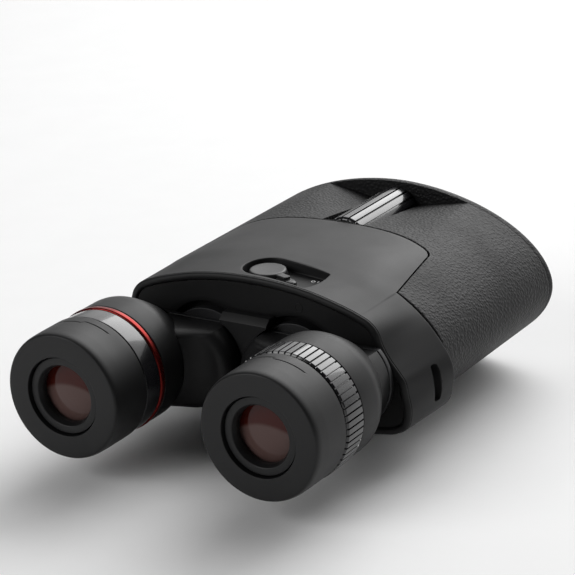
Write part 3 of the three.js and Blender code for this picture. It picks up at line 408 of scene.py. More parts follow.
def housing_skin():
    """Collar and tongue in one grid whose columns end at the seam or the tongue's edge, with a
    rolled rear rim, a sunk switch recess and two strap slots."""
    step = 0.65
    middle = np.arange(0, 36) * step
    x_top = np.r_[middle, np.linspace(23.5, 34.6, 13), np.linspace(35.0, TONGUE_HALF, 18)]
    dense = np.linspace(0, 5, 2000)
    u_top = np.interp(x_top, spline(COLLAR_SEAM, dense)[:, 0], dense)
    u_half = np.r_[u_top, np.linspace(u_top[-1] + 0.01, 8, 32), np.linspace(8.08, 13.9, 72),
                   np.linspace(14, 17, 20)]
    columns = len(u_half)
    u = np.r_[u_half, u_half[-2:0:-1]]
    side = np.r_[np.ones(columns), -np.ones(columns - 2)]
    rear = spline(COLLAR_REAR, u) * np.stack([side, np.ones(len(u))], 1)
    seam = spline(COLLAR_SEAM, u) * np.stack([side, np.ones(len(u))], 1)
    is_tongue = u <= u_top[-1] + 1e-9
    end = np.where(is_tongue, tongue_edge(np.minimum(np.abs(seam[:, 0]), TONGUE_HALF)), SEAM_Y)
    end = np.where(np.isclose(u, u_top[-1]), SEAM_Y, end)
    first, bend, last = 54.4, 78.0, TONGUE_FRONT_Y
    knee = np.interp(end, (SEAM_Y, 100), (63.2, bend))
    full = np.r_[first, np.linspace(54.6, bend, 37), np.linspace(bend, last - 0.45, 24)[1:]]
    middle_z = np.array([0.0, -2.0])

    def point(y, inset):
        """Ring of the collar at each column's y, moved inward along its normals by the inset."""
        share = np.clip((y - COLLAR_REAR_Y) / (SEAM_Y - COLLAR_REAR_Y), 0, 1)[:, None]
        ring = rear * (1 - share) + seam * share
        normal = outward(ring, middle_z)
        z = np.where(is_tongue, collar_top(ring[:, 0], y), ring[:, 1])
        x = ring[:, 0] - normal[:, 0] * inset
        return np.stack([x, y, np.maximum(z - normal[:, 1] * inset, BELLY_Z)], 1)

    grid = []
    rim = ((57.5, 2.9), (54.2, 2.6), (53.5, 2.35), (53.1, 1.95), (53.0, 1.45), (53.04, 0.95),
           (53.2, 0.45), (53.45, 0.15), (53.75, 0.0), (54.0, 0.03), (54.15, 0.16), (54.28, 0.16))
    for y, inset in rim:
        grid.append(point(np.full(len(u), y), inset))
    base = len(grid)
    stop = end - 0.45
    for y in full:
        low = first + (y - first) * (knee - first) / (bend - first)
        high = knee + (y - bend) * (stop - knee) / (last - 0.45 - bend)
        grid.append(point(np.where(y <= bend, low, high), 0.0))
    for back, inset in ((0.25, 0.04), (0.08, 0.18), (0.0, 0.45), (0.0, 1.5)):
        grid.append(point(end - back, inset))
    grid = np.array(grid)
    keep = np.ones((len(grid) - 1, len(u)), bool)
    skin = Skin()

    # window round the power switch
    left, right = len(u) - 18, 35
    low, high = base + 1, base + 37
    span = np.arange(left, len(u) + right + 1) % len(u)
    keep[low:high, span[:-1]] = False
    loop = np.vstack([grid[low, span[:-1]], grid[low:high, right], grid[high, span[:0:-1]],
                      grid[high:low:-1, left]])
    skin.grid(switch_well(loop), centre=(0, 65, -20))

    # strap slots
    for sign in (1, -1):
        strap_slot(skin, grid, keep, u, side, sign)
    skin.grid(grid, centre=(0, 70, 0), keep=keep)
    return skin


def switch_well(loop):
    """Rows from a closed loop of points inward to the recess outline, over a small fillet, down
    the wall and across the floor to the centre."""
    plan = loop[:, :2] - (0, SWITCH_Y)
    angle = np.arctan2(plan[:, 1], plan[:, 0])
    reach = switch_outline(angle)
    edge = np.stack([np.cos(angle), np.sin(angle)], 1) * reach[:, None]
    rows = [loop]
    for t in np.linspace(0, 1, 9)[1:]:
        p = plan * (1 - t) + edge * t
        z = collar_top(p[:, 0], p[:, 1] + SWITCH_Y)
        rows.append(np.stack([p[:, 0], p[:, 1] + SWITCH_Y, z], 1))
    top = rows[-1][:, 2]
    floor = SWITCH_FLOOR_Z
    for inset, height in ((0.06, top - 0.02), (0.16, top - 0.09), (0.24, top - 0.24), (0.3, top - 0.5),
                          (0.36, floor + 0.5), (0.45, floor + 0.15), (0.7, floor + 0.0)):
        p = edge * ((reach - inset) / reach)[:, None]
        rows.append(np.stack([p[:, 0], p[:, 1] + SWITCH_Y, np.broadcast_to(height, top.shape)], 1))
    for share in (0.75, 0.5, 0.25, 0.0):
        p = edge * share
        rows.append(np.stack([p[:, 0], p[:, 1] + SWITCH_Y, np.full(len(p), floor)], 1))
    return np.array(rows)


def strap_slot(skin, grid, keep, u, side, sign):
    """Cuts a block of quads out of the collar's flank and lines it with a round-ended slot."""
    centre, (half_y, half_z) = np.array(SLOT), SLOT_HALF
    flank = np.where((side == sign) & (u > 8) & (u < 14))[0]
    rows = np.arange(len(grid) - 1)
    place_yz = grid[:, flank][:, :, 1:]
    inside = (np.abs(place_yz - centre) < SLOT_HALF).all(-1)
    hit_rows = np.where(inside.any(1))[0]
    hit_cols = np.where(inside.any(0))[0]
    r0, r1 = hit_rows[0], hit_rows[-1]
    c0, c1 = flank[hit_cols[0]], flank[hit_cols[-1]]
    keep[np.ix_(rows[r0:r1], np.arange(c0, c1))] = False
    index = ([(r0, c) for c in range(c0, c1)] + [(r, c1) for r in range(r0, r1)]
             + [(r1, c) for c in range(c1, c0, -1)] + [(r, c0) for r in range(r1, r0, -1)])
    ri, ci = np.array(index).T
    loop = grid[ri, ci]
    away = loop[:, 1:] - centre
    angle = np.arctan2(away[:, 1] / half_z, away[:, 0] / half_y)
    power = 2 / 5.0
    rim_y = centre[0] + np.sign(np.cos(angle)) * np.abs(np.cos(angle)) ** power * half_y
    rim_z = centre[1] + np.sign(np.sin(angle)) * np.abs(np.sin(angle)) ** power * half_z
    share = ((rim_y - COLLAR_REAR_Y) / (SEAM_Y - COLLAR_REAR_Y))[:, None, None]
    curve_u = np.linspace(7.5, 14.5, 160)
    curve = spline(COLLAR_REAR, curve_u) * (1 - share) + spline(COLLAR_SEAM, curve_u) * share
    below = np.clip((curve[..., 1] > rim_z[:, None]).sum(1), 1, len(curve_u) - 1)
    each = np.arange(len(rim_z))
    over, under = curve[each, below - 1], curve[each, below]
    part = (over[:, 1] - rim_z) / (over[:, 1] - under[:, 1])
    edge = np.stack([(over[:, 0] + part * (under[:, 0] - over[:, 0])) * sign, rim_y, rim_z], 1)
    grid[ri, ci] = edge
    out = [edge]
    to_middle = np.stack([np.zeros(len(edge)), centre[0] - rim_y, centre[1] - rim_z], 1)
    to_middle /= np.linalg.norm(to_middle, axis=1, keepdims=True)
    for deep, close in ((0.06, 0.03), (0.2, 0.1), (0.45, 0.16), (2.6, 0.2), (SLOT_DEPTH, 0.5)):
        out.append(edge - (sign * deep, 0, 0) + to_middle * close)
    bottom = edge.mean(0) - (sign * SLOT_DEPTH, 0, 0)
    out.append(out[-1] * 0.4 + bottom * 0.6)
    out.append(np.broadcast_to(bottom, edge.shape))
    skin.grid(np.array(out), centre=(0, *SLOT))


def rear_wall_skin():
    """Each half: polar grid about the hub, from the pocket floor over its edge to the collar."""
    u = np.linspace(0, 17, 240)
    share = (53.8 - COLLAR_REAR_Y) / (SEAM_Y - COLLAR_REAR_Y)
    outline = inset_half(spline(COLLAR_REAR, u) * (1 - share) + spline(COLLAR_SEAM, u) * share, 2.5)
    angle = np.arange(200) / 200 * TURN
    reach = polar_reach(outline, np.array(HUB), angle)
    pocket = np.minimum(16.9, reach - 0.35)
    rows = [(pocket * 0 + 10.6, 56.1), (pocket - 0.5, 56.1), (pocket - 0.1, 55.9), (pocket, 55.5),
            (pocket, 54.1), (pocket + 0.05, 53.85), (pocket + 0.15, 53.7), (pocket + 0.3, 53.63)]
    rows += [(pocket + 0.35 + (reach - pocket - 0.35) * t, 53.6) for t in np.linspace(0, 1, 6)]
    grid = [np.stack([HUB[0] + r * np.cos(angle), np.full(200, y), HUB[1] + r * np.sin(angle)], 1)
            for r, y in rows]
    return Skin().grid(np.array(grid), centre=(16, 90, 0)).mirror()


def bridge_skin():
    """Hourglass section between the hubs, with a bar on top whose rear upper edge is cut at
    45 degrees."""
    z = np.linspace(-11, 12.0, 30)
    clear = HUB_R + 0.45
    half = np.minimum(HUB[0] - np.sqrt(clear**2 - (z - HUB[1]) ** 2), 8.6)
    right = np.r_[np.stack([half, z], 1), [(8.6, 12.4), (8.6, 13.6), (8.6, 14.55), (8.35, 14.8), (0, 14.8)]]
    outline = np.vstack([right, right[-2::-1] * (-1, 1)])
    cut = 1.9
    rows = []
    for y, shrink, top in ((53.3, 1, 14.8), (48.1 + cut, 1, 14.8), (48.0, 1, 14.8 - cut),
                           (47.9, 0.995, 14.6 - cut)):
        ring = outline * shrink
        rows.append(np.stack([ring[:, 0], np.full(len(ring), y), np.minimum(ring[:, 1], top)], 1))
    spine = np.stack([outline[:, 0] * 0, np.full(len(outline), 47.9), np.minimum(outline[:, 1], 12.6)], 1)
    rows.append(spine)
    return Skin().grid(np.array(rows), centre=(0, 56, 0))


# ---------- arms and eyepieces ----------
def arm_outline():
    """Hull of the hub circle and the eyepiece circle, with its upper side cut flat."""
    angle = np.linspace(0, TURN, 720, endpoint=False)
    way = np.stack([np.cos(angle), np.sin(angle)], 1)
    hub, eye = np.array(HUB), np.array([EYE_X, 0.0])
    far = (way @ eye + ARM_TIP_R) > (way @ hub + HUB_R)
    p = np.where(far[:, None], eye + ARM_TIP_R * way, hub + HUB_R * way)
    loop = np.vstack([p, p[:1]])
    even = np.linspace(0, len(p), 4000, endpoint=False)
    at = np.arange(len(loop))
    dense = np.stack([np.interp(even, at, loop[:, i]) for i in (0, 1)], 1)
    dense[:, 1] = np.minimum(dense[:, 1], ARM_TOP_Z)
    return dense


def arm_block(face_y, front_y, edge, fillet):
    """Polar grid about the eyepiece axis: a face that sweeps up to the barrel as a parabola,
    a quarter-round edge, the sides and a flat front."""
    angle = np.arange(240) / 240 * TURN
    reach = polar_reach(arm_outline(), np.array([EYE_X, 0.0]), angle)

    def face(r):
        """Face height: a parabola that rises towards the axis inside 29 mm."""
        return face_y - fillet * np.clip((29 - r) / 10, 0, 1) ** 2

    rows = [(reach * 0 + 2, face(reach * 0 + 2))]
    for t in np.linspace(0, 1, 22):
        r = 12 + (reach - edge - 12) * t
        rows.append((r, face(r)))
    for turn in np.linspace(0, np.pi / 2, 7)[1:]:
        r = reach - edge + edge * np.sin(turn)
        rows.append((r, face(r) + edge * (1 - np.cos(turn))))
    rows += [(reach, reach * 0 + front_y - 0.25), (reach - 0.08, reach * 0 + front_y - 0.08),
             (reach - 0.25, reach * 0 + front_y), (reach * 0 + 2, reach * 0 + front_y)]
    return np.array([np.stack([EYE_X + r * np.cos(angle), y, r * np.sin(angle)], 1) for r, y in rows])


def arm_skin():
    """Barrel turned about the eyepiece axis, joined to the hub block."""
    barrel = soften([(14.6, 16.6), (17.2, 16.6), (17.2, 26.07), (20.34, 26.07), (20.34, 36.4),
                     (17.6, 41.6), (15.0, 46), (14.6, 46)], (0.1, 0.3, 0.1, 0.3, 2.4, 2.0, 0.1, 0.1))
    skin = Skin().grid(lathe(barrel, EYE_X, 0, 160), rows_close=True)
    return skin.grid(arm_block(40.6, 50.4, 4.2, 4.4), rows_close=True)


def hub_plate_skin():
    """Thin plate of the arm's outline with the stepped hub turned about its own axis."""
    skin = Skin().grid(arm_block(50.7, 52.6, 0.3, 0.0), rows_close=True)
    hub = soften([(8.5, 52.4), (15, 52.4), (15, 55.8), (11, 55.8), (11, 66), (8.5, 66)], 0.25)
    return skin.grid(lathe(hub, *HUB, 96), rows_close=True)


def flip(skin, side):
    """The skin itself for the right side, or its reflection in x = 0 for the left."""
    if side < 0:
        skin.points = [p * (-1, 1, 1) for p in skin.points]
        skin.faces = [f[:, ::-1] for f in skin.faces]
    return skin


def eyecup_skin():
    """Soft cup with a fine line let into its upper side that steps once."""
    def carve(r, y, a):
        """Radius less a narrow bell of a groove along the stepped line."""
        up = (a - np.pi / 2) / np.radians(30)
        line = 12.5 - 1.1 * smooth((0.12 - up) / 0.06)
        groove = np.exp(-(((y - line) / 0.16) ** 2)) * smooth((1 - np.abs(up)) / 0.06)
        return r - 0.22 * groove * (r > 19.5)

    outline = soften([(12.71, 0.0), (18.1, 0.0), (20.25, 0.0), (CUP_R, 6.0), (CUP_R, 15.77), (17.8, 15.77),
                      (17.8, 2.6), (12.71, 2.6)], (0.3, 0.1, 2.6, 0.5, 0.4, 0.2, 0.3, 0.3), 9)
    rows = np.linspace(10.6, 13.4, 29)
    side = np.where((outline[:-1, 1] < 10) & (outline[1:, 1] > 14) & (outline[:-1, 0] > 19))[0][0] + 1
    outline = np.insert(outline, side, np.stack([np.full(29, CUP_R), rows], 1), axis=0)
    return Skin().grid(lathe(outline, EYE_X, 0, 256, carve), rows_close=True)


def ocular_skin():
    """Recessed ring behind the eyecup face and the dark bore that holds the eye lens."""
    return turned([(9.1, 2.9), (9.9, 1.25), (12.25, 1.25), (12.25, 17.9), (14.2, 17.9), (14.2, 33),
                   (11.3, 33), (11.3, 5.4), (9.1, 4.6)],
                  (0.25, 0.3, 0.25, 0.2, 0.2, 0.2, 0.2, 0.2, 0.3), EYE_X)


def eye_lens_skin():
    """Dome y = Y + bulge (r/R)^2 over a flat back."""
    r = np.linspace(0, EYE_LENS_R, 14)
    front = np.stack([r, EYE_LENS_Y + EYE_LENS_BULGE * (r / EYE_LENS_R) ** 2], 1)
    profile = np.vstack([front, [(EYE_LENS_R, 8.6), (0, 8.6)]])
    return Skin().grid(lathe(profile, EYE_X, 0, 96), rows_close=True)


def ribs(count, depth, groove, inner):
    """Carves count narrow grooves with eased walls into the outside of a turned ring."""
    def carve(r, y, a):
        """Radius less an eased cut where the angle's phase nears each groove."""
        phase = (a / TURN * count) % 1.0
        away = np.abs(phase - 0.5) * 2
        cut = smooth((away - (1 - groove * 1.25)) / (groove * 0.35))
        return np.where(r > inner, r - depth * cut * smooth((r - inner) / 1.2), r)

    return carve


def bezel_skin():
    """Each half: polar grid about the objective from its bevelled opening to the front rim."""
    x = np.linspace(0, BODY_A, 200)
    z = body_half_height(x)
    under = np.maximum(BODY_MID_Z - z[::-1], BELLY_Z)
    edge = np.r_[np.stack([x, BODY_MID_Z + z], 1), np.stack([x[::-1], under], 1)]
    edge = inset_half(edge, 2.2)
    angle = np.arange(192) / 192 * TURN
    reach = polar_reach(edge, np.array(OBJECTIVE), angle)
    opening, face_y = 17.6, 149.9
    rows = [(16.6, 147.6), (16.7, 149.0), (17.3, 149.75), (opening, face_y)]
    rows += [(opening + (reach - opening) * t, face_y) for t in np.linspace(0, 1, 8)[1:]]
    grid = [np.stack([OBJECTIVE[0] + r * np.cos(angle), np.full(192, y), OBJECTIVE[1] + r * np.sin(angle)], 1)
            for r, y in rows]
    return Skin().grid(np.array(grid), centre=(29, 100, 0)).mirror()


def cap_skin():
    """Round cover with a coin slot sunk across it."""
    angle = np.arange(96) / 96 * TURN
    rows = []
    for r, y in ((0, 149.0), (7.4, 149.0), (7.4, 150.1), (7.3, 150.35), (7.05, 150.45)):
        rows.append((np.full(96, r), np.full(96, y)))
    for r in np.linspace(6.8, 0, 26):
        x, z = r * np.cos(angle), r * np.sin(angle)
        slot = np.maximum(np.abs(z) - 0.9, np.abs(x) - 4.6)
        rows.append((np.full(96, r), 150.45 - 0.9 * smooth(0.5 - slot / 0.25)))
    grid = [np.stack([r * np.cos(angle), y, BATTERY_Z + r * np.sin(angle)], 1) for r, y in rows]
    return Skin().grid(np.array(grid), centre=(0, 149.5, BATTERY_Z))


def extruded(outline, levels):
    """Rings of an outline in x and y at given (z, scale) levels, closed by a point at each end."""
    outline = np.asarray(outline, float)
    middle = outline.mean(0)
    rows = []
    for z, scale in ((levels[0][0], 0.0), *levels, (levels[-1][0], 0.0)):
        ring = middle + (outline - middle) * scale
        rows.append(np.column_stack([ring, np.full(len(ring), z)]))
    return np.array(rows)


def switch_skin():
    """Round cap with sloping sides and a tapered lever that points out over the recess."""
    angle = np.arange(96) / 96 * TURN
    rows = [(0, 23.0), (6.5, 23.0), (6.5, 23.25), (5.95, 24.9), (5.8, 25.25), (5.55, 25.44),
            (5.2, 25.5), (4.6, 25.46), (0, 25.4)]
    cap = np.array([np.stack([r * np.cos(angle), SWITCH_Y + r * np.sin(angle), np.full(96, z)], 1)
                    for r, z in rows])
    skin = Skin().grid(cap)
    lean = np.radians(LEVER_ANGLE)
    turn = np.array([(np.cos(lean), np.sin(lean)), (-np.sin(lean), np.cos(lean))])
    for corners, levels in (
        ([(3, -1.75), (11.9, -1.55), (13.5, -0.6), (13.5, 0.6), (11.9, 1.55), (3, 1.75)],
         ((23.0, 1.0), (23.9, 0.97), (24.15, 0.93), (24.3, 0.85))),
        ([(4.6, -1.3), (9.8, -1.15), (9.8, 1.15), (4.6, 1.3)], ((24.1, 1.0), (25.1, 0.97), (25.25, 0.9))),
    ):
        plan = soften(corners, 0.45, 3)
        skin.grid(extruded(plan @ turn + (0, SWITCH_Y), levels))
    return skin


# ---------- shader wires ----------
class Wire:
    """A shader value that can be used in sums and handed to other nodes."""

    def __init__(self, tree, socket):
        self.tree, self.socket = tree, socket

    def node(self, kind, out=0, settings=None, **inputs):
        """Adds a node of a kind, with settings and inputs, and gives the wire of one output."""
        made = self.tree.nodes.new(kind)
        for key, value in (settings or {}).items():
            setattr(made, key, value)
        for key, value in inputs.items():
            socket = made.inputs[int(key[1:]) if key[1:].isdigit() else key.replace("_", " ")]
            if isinstance(value, Wire):
                self.tree.links.new(value.socket, socket)
            else:
                socket.default_value = value
        return Wire(self.tree, made.outputs[out])

    def maths(self, operation, first, second=0.0):
        """One Math node on two values or wires."""
        return self.node("ShaderNodeMath", 0, {"operation": operation}, i0=first, i1=second)

    def __add__(self, other):
        return self.maths("ADD", self, other)

    def __sub__(self, other):
        return self.maths("SUBTRACT", self, other)

    def __rsub__(self, other):
        return self.maths("SUBTRACT", other, self)

    def __mul__(self, other):
        return self.maths("MULTIPLY", self, other)

    def __truediv__(self, other):
        return self.maths("DIVIDE", self, other)

    __radd__ = __add__
    __rmul__ = __mul__

    def step(self, low, high):
        """Eased 0 to 1 between low and high."""
        return self.node("ShaderNodeMapRange", 0, {"interpolation_type": "SMOOTHSTEP"},
                         Value=self, From_Min=low, From_Max=high)

    def tint(self, low, high):
        """Colour between low and high by this value."""
        return self.node("ShaderNodeMix", 2, {"data_type": "RGBA"}, i0=self, i6=(*low, 1), i7=(*high, 1))

    def scaled(self, factors):
        """Vector with each part multiplied by its own factor."""
        return self.node("ShaderNodeVectorMath", 0, {"operation": "MULTIPLY"}, i0=self, i1=factors)

    def noise(self, size, detail=3.0, roughness=0.55):
        """Noise whose features are about size millimetres across."""
        return self.node("ShaderNodeTexNoise", 0, None, Vector=self, Scale=1000 / size, Detail=detail,
                         Roughness=roughness)

    def cells(self, size):
        """Distance to the nearest point of a field of cells size millimetres apart."""
        return self.node("ShaderNodeTexVoronoi", 0, {"feature": "SMOOTH_F1"}, Vector=self, Scale=1000 / size,
                         Smoothness=0.35)


def finish(name, low, high, rough, grain=0.25, height=0.01, pebble=0.0, pebble_height=0.0, dust=0.0, **fixed):
    """Material whose colour and roughness wander between two values over fine and broad noise,
    with a grain and, where asked, a pebbled leather relief. Sizes in millimetres."""
    material = bpy.data.materials.new(name)
    material.use_nodes = True
    tree = material.node_tree
    shader = tree.nodes["Principled BSDF"]
    at = Wire(tree, tree.nodes.new("ShaderNodeTexCoord").outputs["Object"])
    broad = at.noise(22, 4)
    fine = at.noise(grain, 2)
    blotch = broad.step(0.3, 0.7) * 0.7 + fine * 0.3
    colour = blotch.tint(low, high)
    if dust:
        up = at.node("ShaderNodeSeparateXYZ", 2, None, i0=at.node("ShaderNodeNewGeometry", "Normal"))
        speck = at.noise(0.6, 1).step(0.66, 0.74) * up.step(0.3, 1.0) * broad.step(0.4, 0.6) * dust
        colour = at.node("ShaderNodeMix", 2, {"data_type": "RGBA"}, i0=speck, i6=colour,
                         i7=(0.2, 0.19, 0.18, 1))
    relief = fine * height
    if pebble:
        cell = at.cells(pebble).step(0.05, 0.75)
        relief = relief - cell * pebble_height + at.cells(pebble * 0.47) * (-0.3 * pebble_height)
    bump = at.node("ShaderNodeBump", 0, None, Strength=1.0, Distance=0.001, Height=relief)
    wander = broad.step(0.25, 0.75) * (rough[1] - rough[0]) + rough[0] + fine * 0.05
    tree.links.new(colour.socket, shader.inputs["Base Color"])
    tree.links.new(wander.socket, shader.inputs["Roughness"])
    tree.links.new(bump.socket, shader.inputs["Normal"])
    for key, value in fixed.items():
        shader.inputs[key.replace("_", " ")].default_value = value
    return material


def spun_metal(name, low, high, rough, **fixed):
    """Metal with fine turning lines that follow each ring, as noise squeezed along y."""
    material = finish(name, low, high, rough, 0.2, 0.002, **fixed)
    tree = material.node_tree
    shader = tree.nodes["Principled BSDF"]
    at = Wire(tree, next(n for n in tree.nodes if n.type == "TEX_COORD").outputs["Object"])
    lines = at.scaled((0.02, 1.0, 0.02)).noise(0.12, 2)
    bump = at.node("ShaderNodeBump", 0, None, Strength=1.0, Distance=0.001, Height=lines * 0.006)
    tree.links.new(bump.socket, shader.inputs["Normal"])
    return material


def glass_with_painted_reflection():
    """Dark coated lens whose colour is a painted reflection: rose brown over most of its face and a deep
    red crescent at its top, from the height above the eyepiece axis, with faint dust."""
    material = finish("glass_with_painted_reflection", (0.02, 0.004, 0.003), (0.03, 0.006, 0.005), (0.03, 0.06), 0.5, 0.0004)
    tree = material.node_tree
    shader = tree.nodes["Principled BSDF"]
    at = Wire(tree, next(n for n in tree.nodes if n.type == "TEX_COORD").outputs["Object"])
    split = at.node("ShaderNodeSeparateXYZ", 0, None, i0=at)
    height = Wire(tree, split.socket.node.outputs[2]) * 1000 - AXIS_HEIGHT
    across = at.maths("ABSOLUTE", at.maths("ABSOLUTE", split * 1000) - EYE_X)
    low = height + across * across * 0.03
    dust = at.noise(0.35, 1).step(0.7, 0.78) * 0.15
    # painted reflection: deep red at the top easing into rose brown lower down, plus faint dust specks
    inner = (low.step(3.2, 1.6) * 0.9 + dust).tint((0.045, 0.006, 0.004), (0.1, 0.062, 0.056))
    tree.links.new(inner.socket, shader.inputs["Base Color"])
    shader.inputs["Coat Weight"].default_value = 0.08
    shader.inputs["Specular IOR Level"].default_value = 0.16
    return material


def clear_glass():
    """Window glass with a faint violet coating and barely uneven polish."""
    material = finish("clear_glass", (0.9, 0.88, 0.95), (0.98, 0.96, 1.0), (0.0, 0.02), 0.5, 0.0002)
    shader = material.node_tree.nodes["Principled BSDF"]
    shader.inputs["Transmission Weight"].default_value = 1.0
    shader.inputs["IOR"].default_value = 1.5
    return material


MATERIALS = {}


def make_materials(colours):
    """All finishes, by the record's slot names and the few extra ones."""
    rubber, shell, red = tuple(colours.rubber), tuple(colours.shell), tuple(colours.red)

    def shade(colour, factor):
        """Colour made darker or lighter by a factor."""
        return tuple(c * factor for c in colour)

    MATERIALS.update({
        "armour": finish("armour", shade(rubber, 0.8), shade(rubber, 1.25), (0.46, 0.56), 0.3, 0.02,
                         1.0, 0.13, dust=0.06, Specular_IOR_Level=0.22),
        "shell": finish("shell", shade(shell, 0.85), shade(shell, 1.2), (0.42, 0.5), 0.3, 0.012, dust=0.04,
                        Specular_IOR_Level=0.24),
        # painted shade: a darker copy of the shell for the arm housings set back under the collar, also put
        # on the battery cap
        "arm": finish("arm", shade(shell, 0.6), shade(shell, 0.9), (0.36, 0.46), 0.25, 0.005,
                      Specular_IOR_Level=0.24),
        # painted shade: a darker copy of the shell for the recessed rear wall and the bezel
        "inner": finish("inner", shade(shell, 0.55), shade(shell, 0.8), (0.5, 0.62), 0.25, 0.006,
                        Specular_IOR_Level=0.25),
        "cup": finish("cup", shade(rubber, 0.75), shade(rubber, 1.2), (0.4, 0.5), 0.35, 0.005, dust=0.03,
                      Specular_IOR_Level=0.3),
        "gloss": finish("gloss", (0.006, 0.006, 0.007), (0.012, 0.012, 0.014), (0.16, 0.26), 0.5, 0.001,
                        Coat_Weight=0.4),
        # painted light: a lighter copy of the shell on the switch cap and lever, standing in for the light on
        # their tops
        "lit_knob": finish("lit_knob", shade(shell, 1.0), shade(shell, 1.8), (0.32, 0.44), 0.5, 0.06),
        "red": spun_metal("red", shade(red, 0.8), red, (0.2, 0.3), Metallic=0.92),
        "metal": spun_metal("metal", (0.42, 0.43, 0.45), (0.58, 0.59, 0.6), (0.24, 0.36), Metallic=1.0),
        "black_metal": spun_metal("black_metal", (0.012, 0.012, 0.013), (0.022, 0.022, 0.024), (0.35, 0.5),
                                  Metallic=0.4),
        "brass": spun_metal("brass", (0.5, 0.34, 0.11), (0.62, 0.45, 0.17), (0.25, 0.4), Metallic=1.0),
        "board": finish("board", (0.01, 0.06, 0.022), (0.014, 0.09, 0.03), (0.4, 0.6), 0.5, 0.006),
        "battery": finish("battery", (0.02, 0.06, 0.03), (0.03, 0.08, 0.04), (0.3, 0.45), 0.6, 0.002),
        "glass": glass_with_painted_reflection(),
        "clear": clear_glass(),
        "white": finish("white", (0.7, 0.7, 0.7), (0.85, 0.85, 0.85), (0.4, 0.55), 0.2, 0.004),
        "floor": finish("floor", (0.88, 0.88, 0.88), (0.9, 0.9, 0.9), (0.6, 0.75), 1.5, 0.004),
    })


# ---------- settings ----------
class BinocularColours(bpy.types.PropertyGroup):
    """Base colours of the main finishes."""

    rubber: FloatVectorProperty(name="Rubber", description="Armour and eyecups", subtype="COLOR",
                                size=3, default=(0.009, 0.009, 0.0095), min=0, max=1)
    shell: FloatVectorProperty(name="Shell", description="Housing and arms", subtype="COLOR",
                               size=3, default=(0.009, 0.009, 0.0095), min=0, max=1)
    red: FloatVectorProperty(name="Ring", description="Coloured ring on the left eyepiece", subtype="COLOR",
                             size=3, default=(0.2, 0.016, 0.013), min=0, max=1)


class BinocularStudio(bpy.types.PropertyGroup):
    """Sizes of the studio."""

    floor: FloatProperty(name="Floor", description="Side of the floor", default=6.0, min=1.0,
                         unit="LENGTH", subtype="DISTANCE")
    key: FloatProperty(name="Key", description="Power of the large lamp behind and above", default=7.0,
                       min=0.0, unit="POWER")


# ---------- operators ----------
class BinocularOperator:
    """What the building operators share."""

    bl_options = {"REGISTER", "UNDO"}

    def execute(self, context):
        self.build(context)
        return {"FINISHED"}


class BINO_OT_materials(BinocularOperator, bpy.types.Operator):
    """Make every finish and put it on the frame's own pieces"""

    bl_idname = "bino.materials"
    bl_label = "Finishes"

    def build(self, context):
        make_materials(context.scene.bino_colours)
        for entry in frame["record"]["subparts"]:
            mesh = frame["nodes"][entry["node"]].data
            mesh.materials.clear()
            mesh.materials.append(MATERIALS[entry["material_slot"]])


class BINO_OT_housing(BinocularOperator, bpy.types.Operator):
    """Armour, rear housing, rear wall and centre bridge"""

    bl_idname = "bino.housing"
    bl_label = "Housing"

    def build(self, context):
        place("armour_skin", armour_skin(), "front_armour", "armour", MATERIALS["armour"], 38)
        place("housing_skin", housing_skin(), "rear_housing", "shell", MATERIALS["shell"], 44)
        # the rear wall takes the darker inner copy of the shell, painted shade in the recess
        place("wall_skin", rear_wall_skin(), "rear_wall", "inner", MATERIALS["inner"], 40)
        place("bridge_skin", bridge_skin(), "centre_bridge", "shell", MATERIALS["shell"], 25, 0.18)


class BINO_OT_front(BinocularOperator, bpy.types.Operator):
    """Bezel, objective windows and lenses, and battery cover"""

    bl_idname = "bino.front"
    bl_label = "Front"

    def build(self, context):
        place("bezel_skin", bezel_skin(), "front_bezel", "inner", MATERIALS["inner"], 30)
        place("cap_skin", cap_skin(), "battery_cap", "inner", MATERIALS["arm"], 30)
        for word, side in SIDES:
            x, z = OBJECTIVE[0] * side, OBJECTIVE[1]
            window = turned([(0, 147.45), (18.0, 147.45), (18.0, 148.8), (0, 148.8)], (0, 0.2, 0.3, 0), x, z)
            place(f"window_skin_{word}", window, f"objective_window_{word}", "glass", MATERIALS["clear"])
            r = np.linspace(0, OBJECTIVE_R, 16)
            dome = np.stack([r, 133.0 + 2.4 * (1 - (r / OBJECTIVE_R) ** 2)], 1)
            lens = np.vstack([[(0, 129.6)], [(OBJECTIVE_R, 129.6)], dome[::-1]])
            skin = Skin().grid(lathe(lens, x, z, 96), rows_close=True)
            place(f"objective_skin_{word}", skin, f"objective_lens_{word}", "glass", MATERIALS["glass"])


class BINO_OT_arms(BinocularOperator, bpy.types.Operator):
    """Both swinging arms with their hub plates"""

    bl_idname = "bino.arms"
    bl_label = "Arms"

    def build(self, context):
        for word, side in SIDES:
            # the arm housings take the darker copy of the shell, painted shade
            place(f"arm_skin_{word}", flip(arm_skin(), side), f"arm_housing_{word}", "shell",
                  MATERIALS["arm"], 35)
            place(f"plate_skin_{word}", flip(hub_plate_skin(), side), f"hub_plate_{word}", "black_metal",
                  MATERIALS["black_metal"], 35)


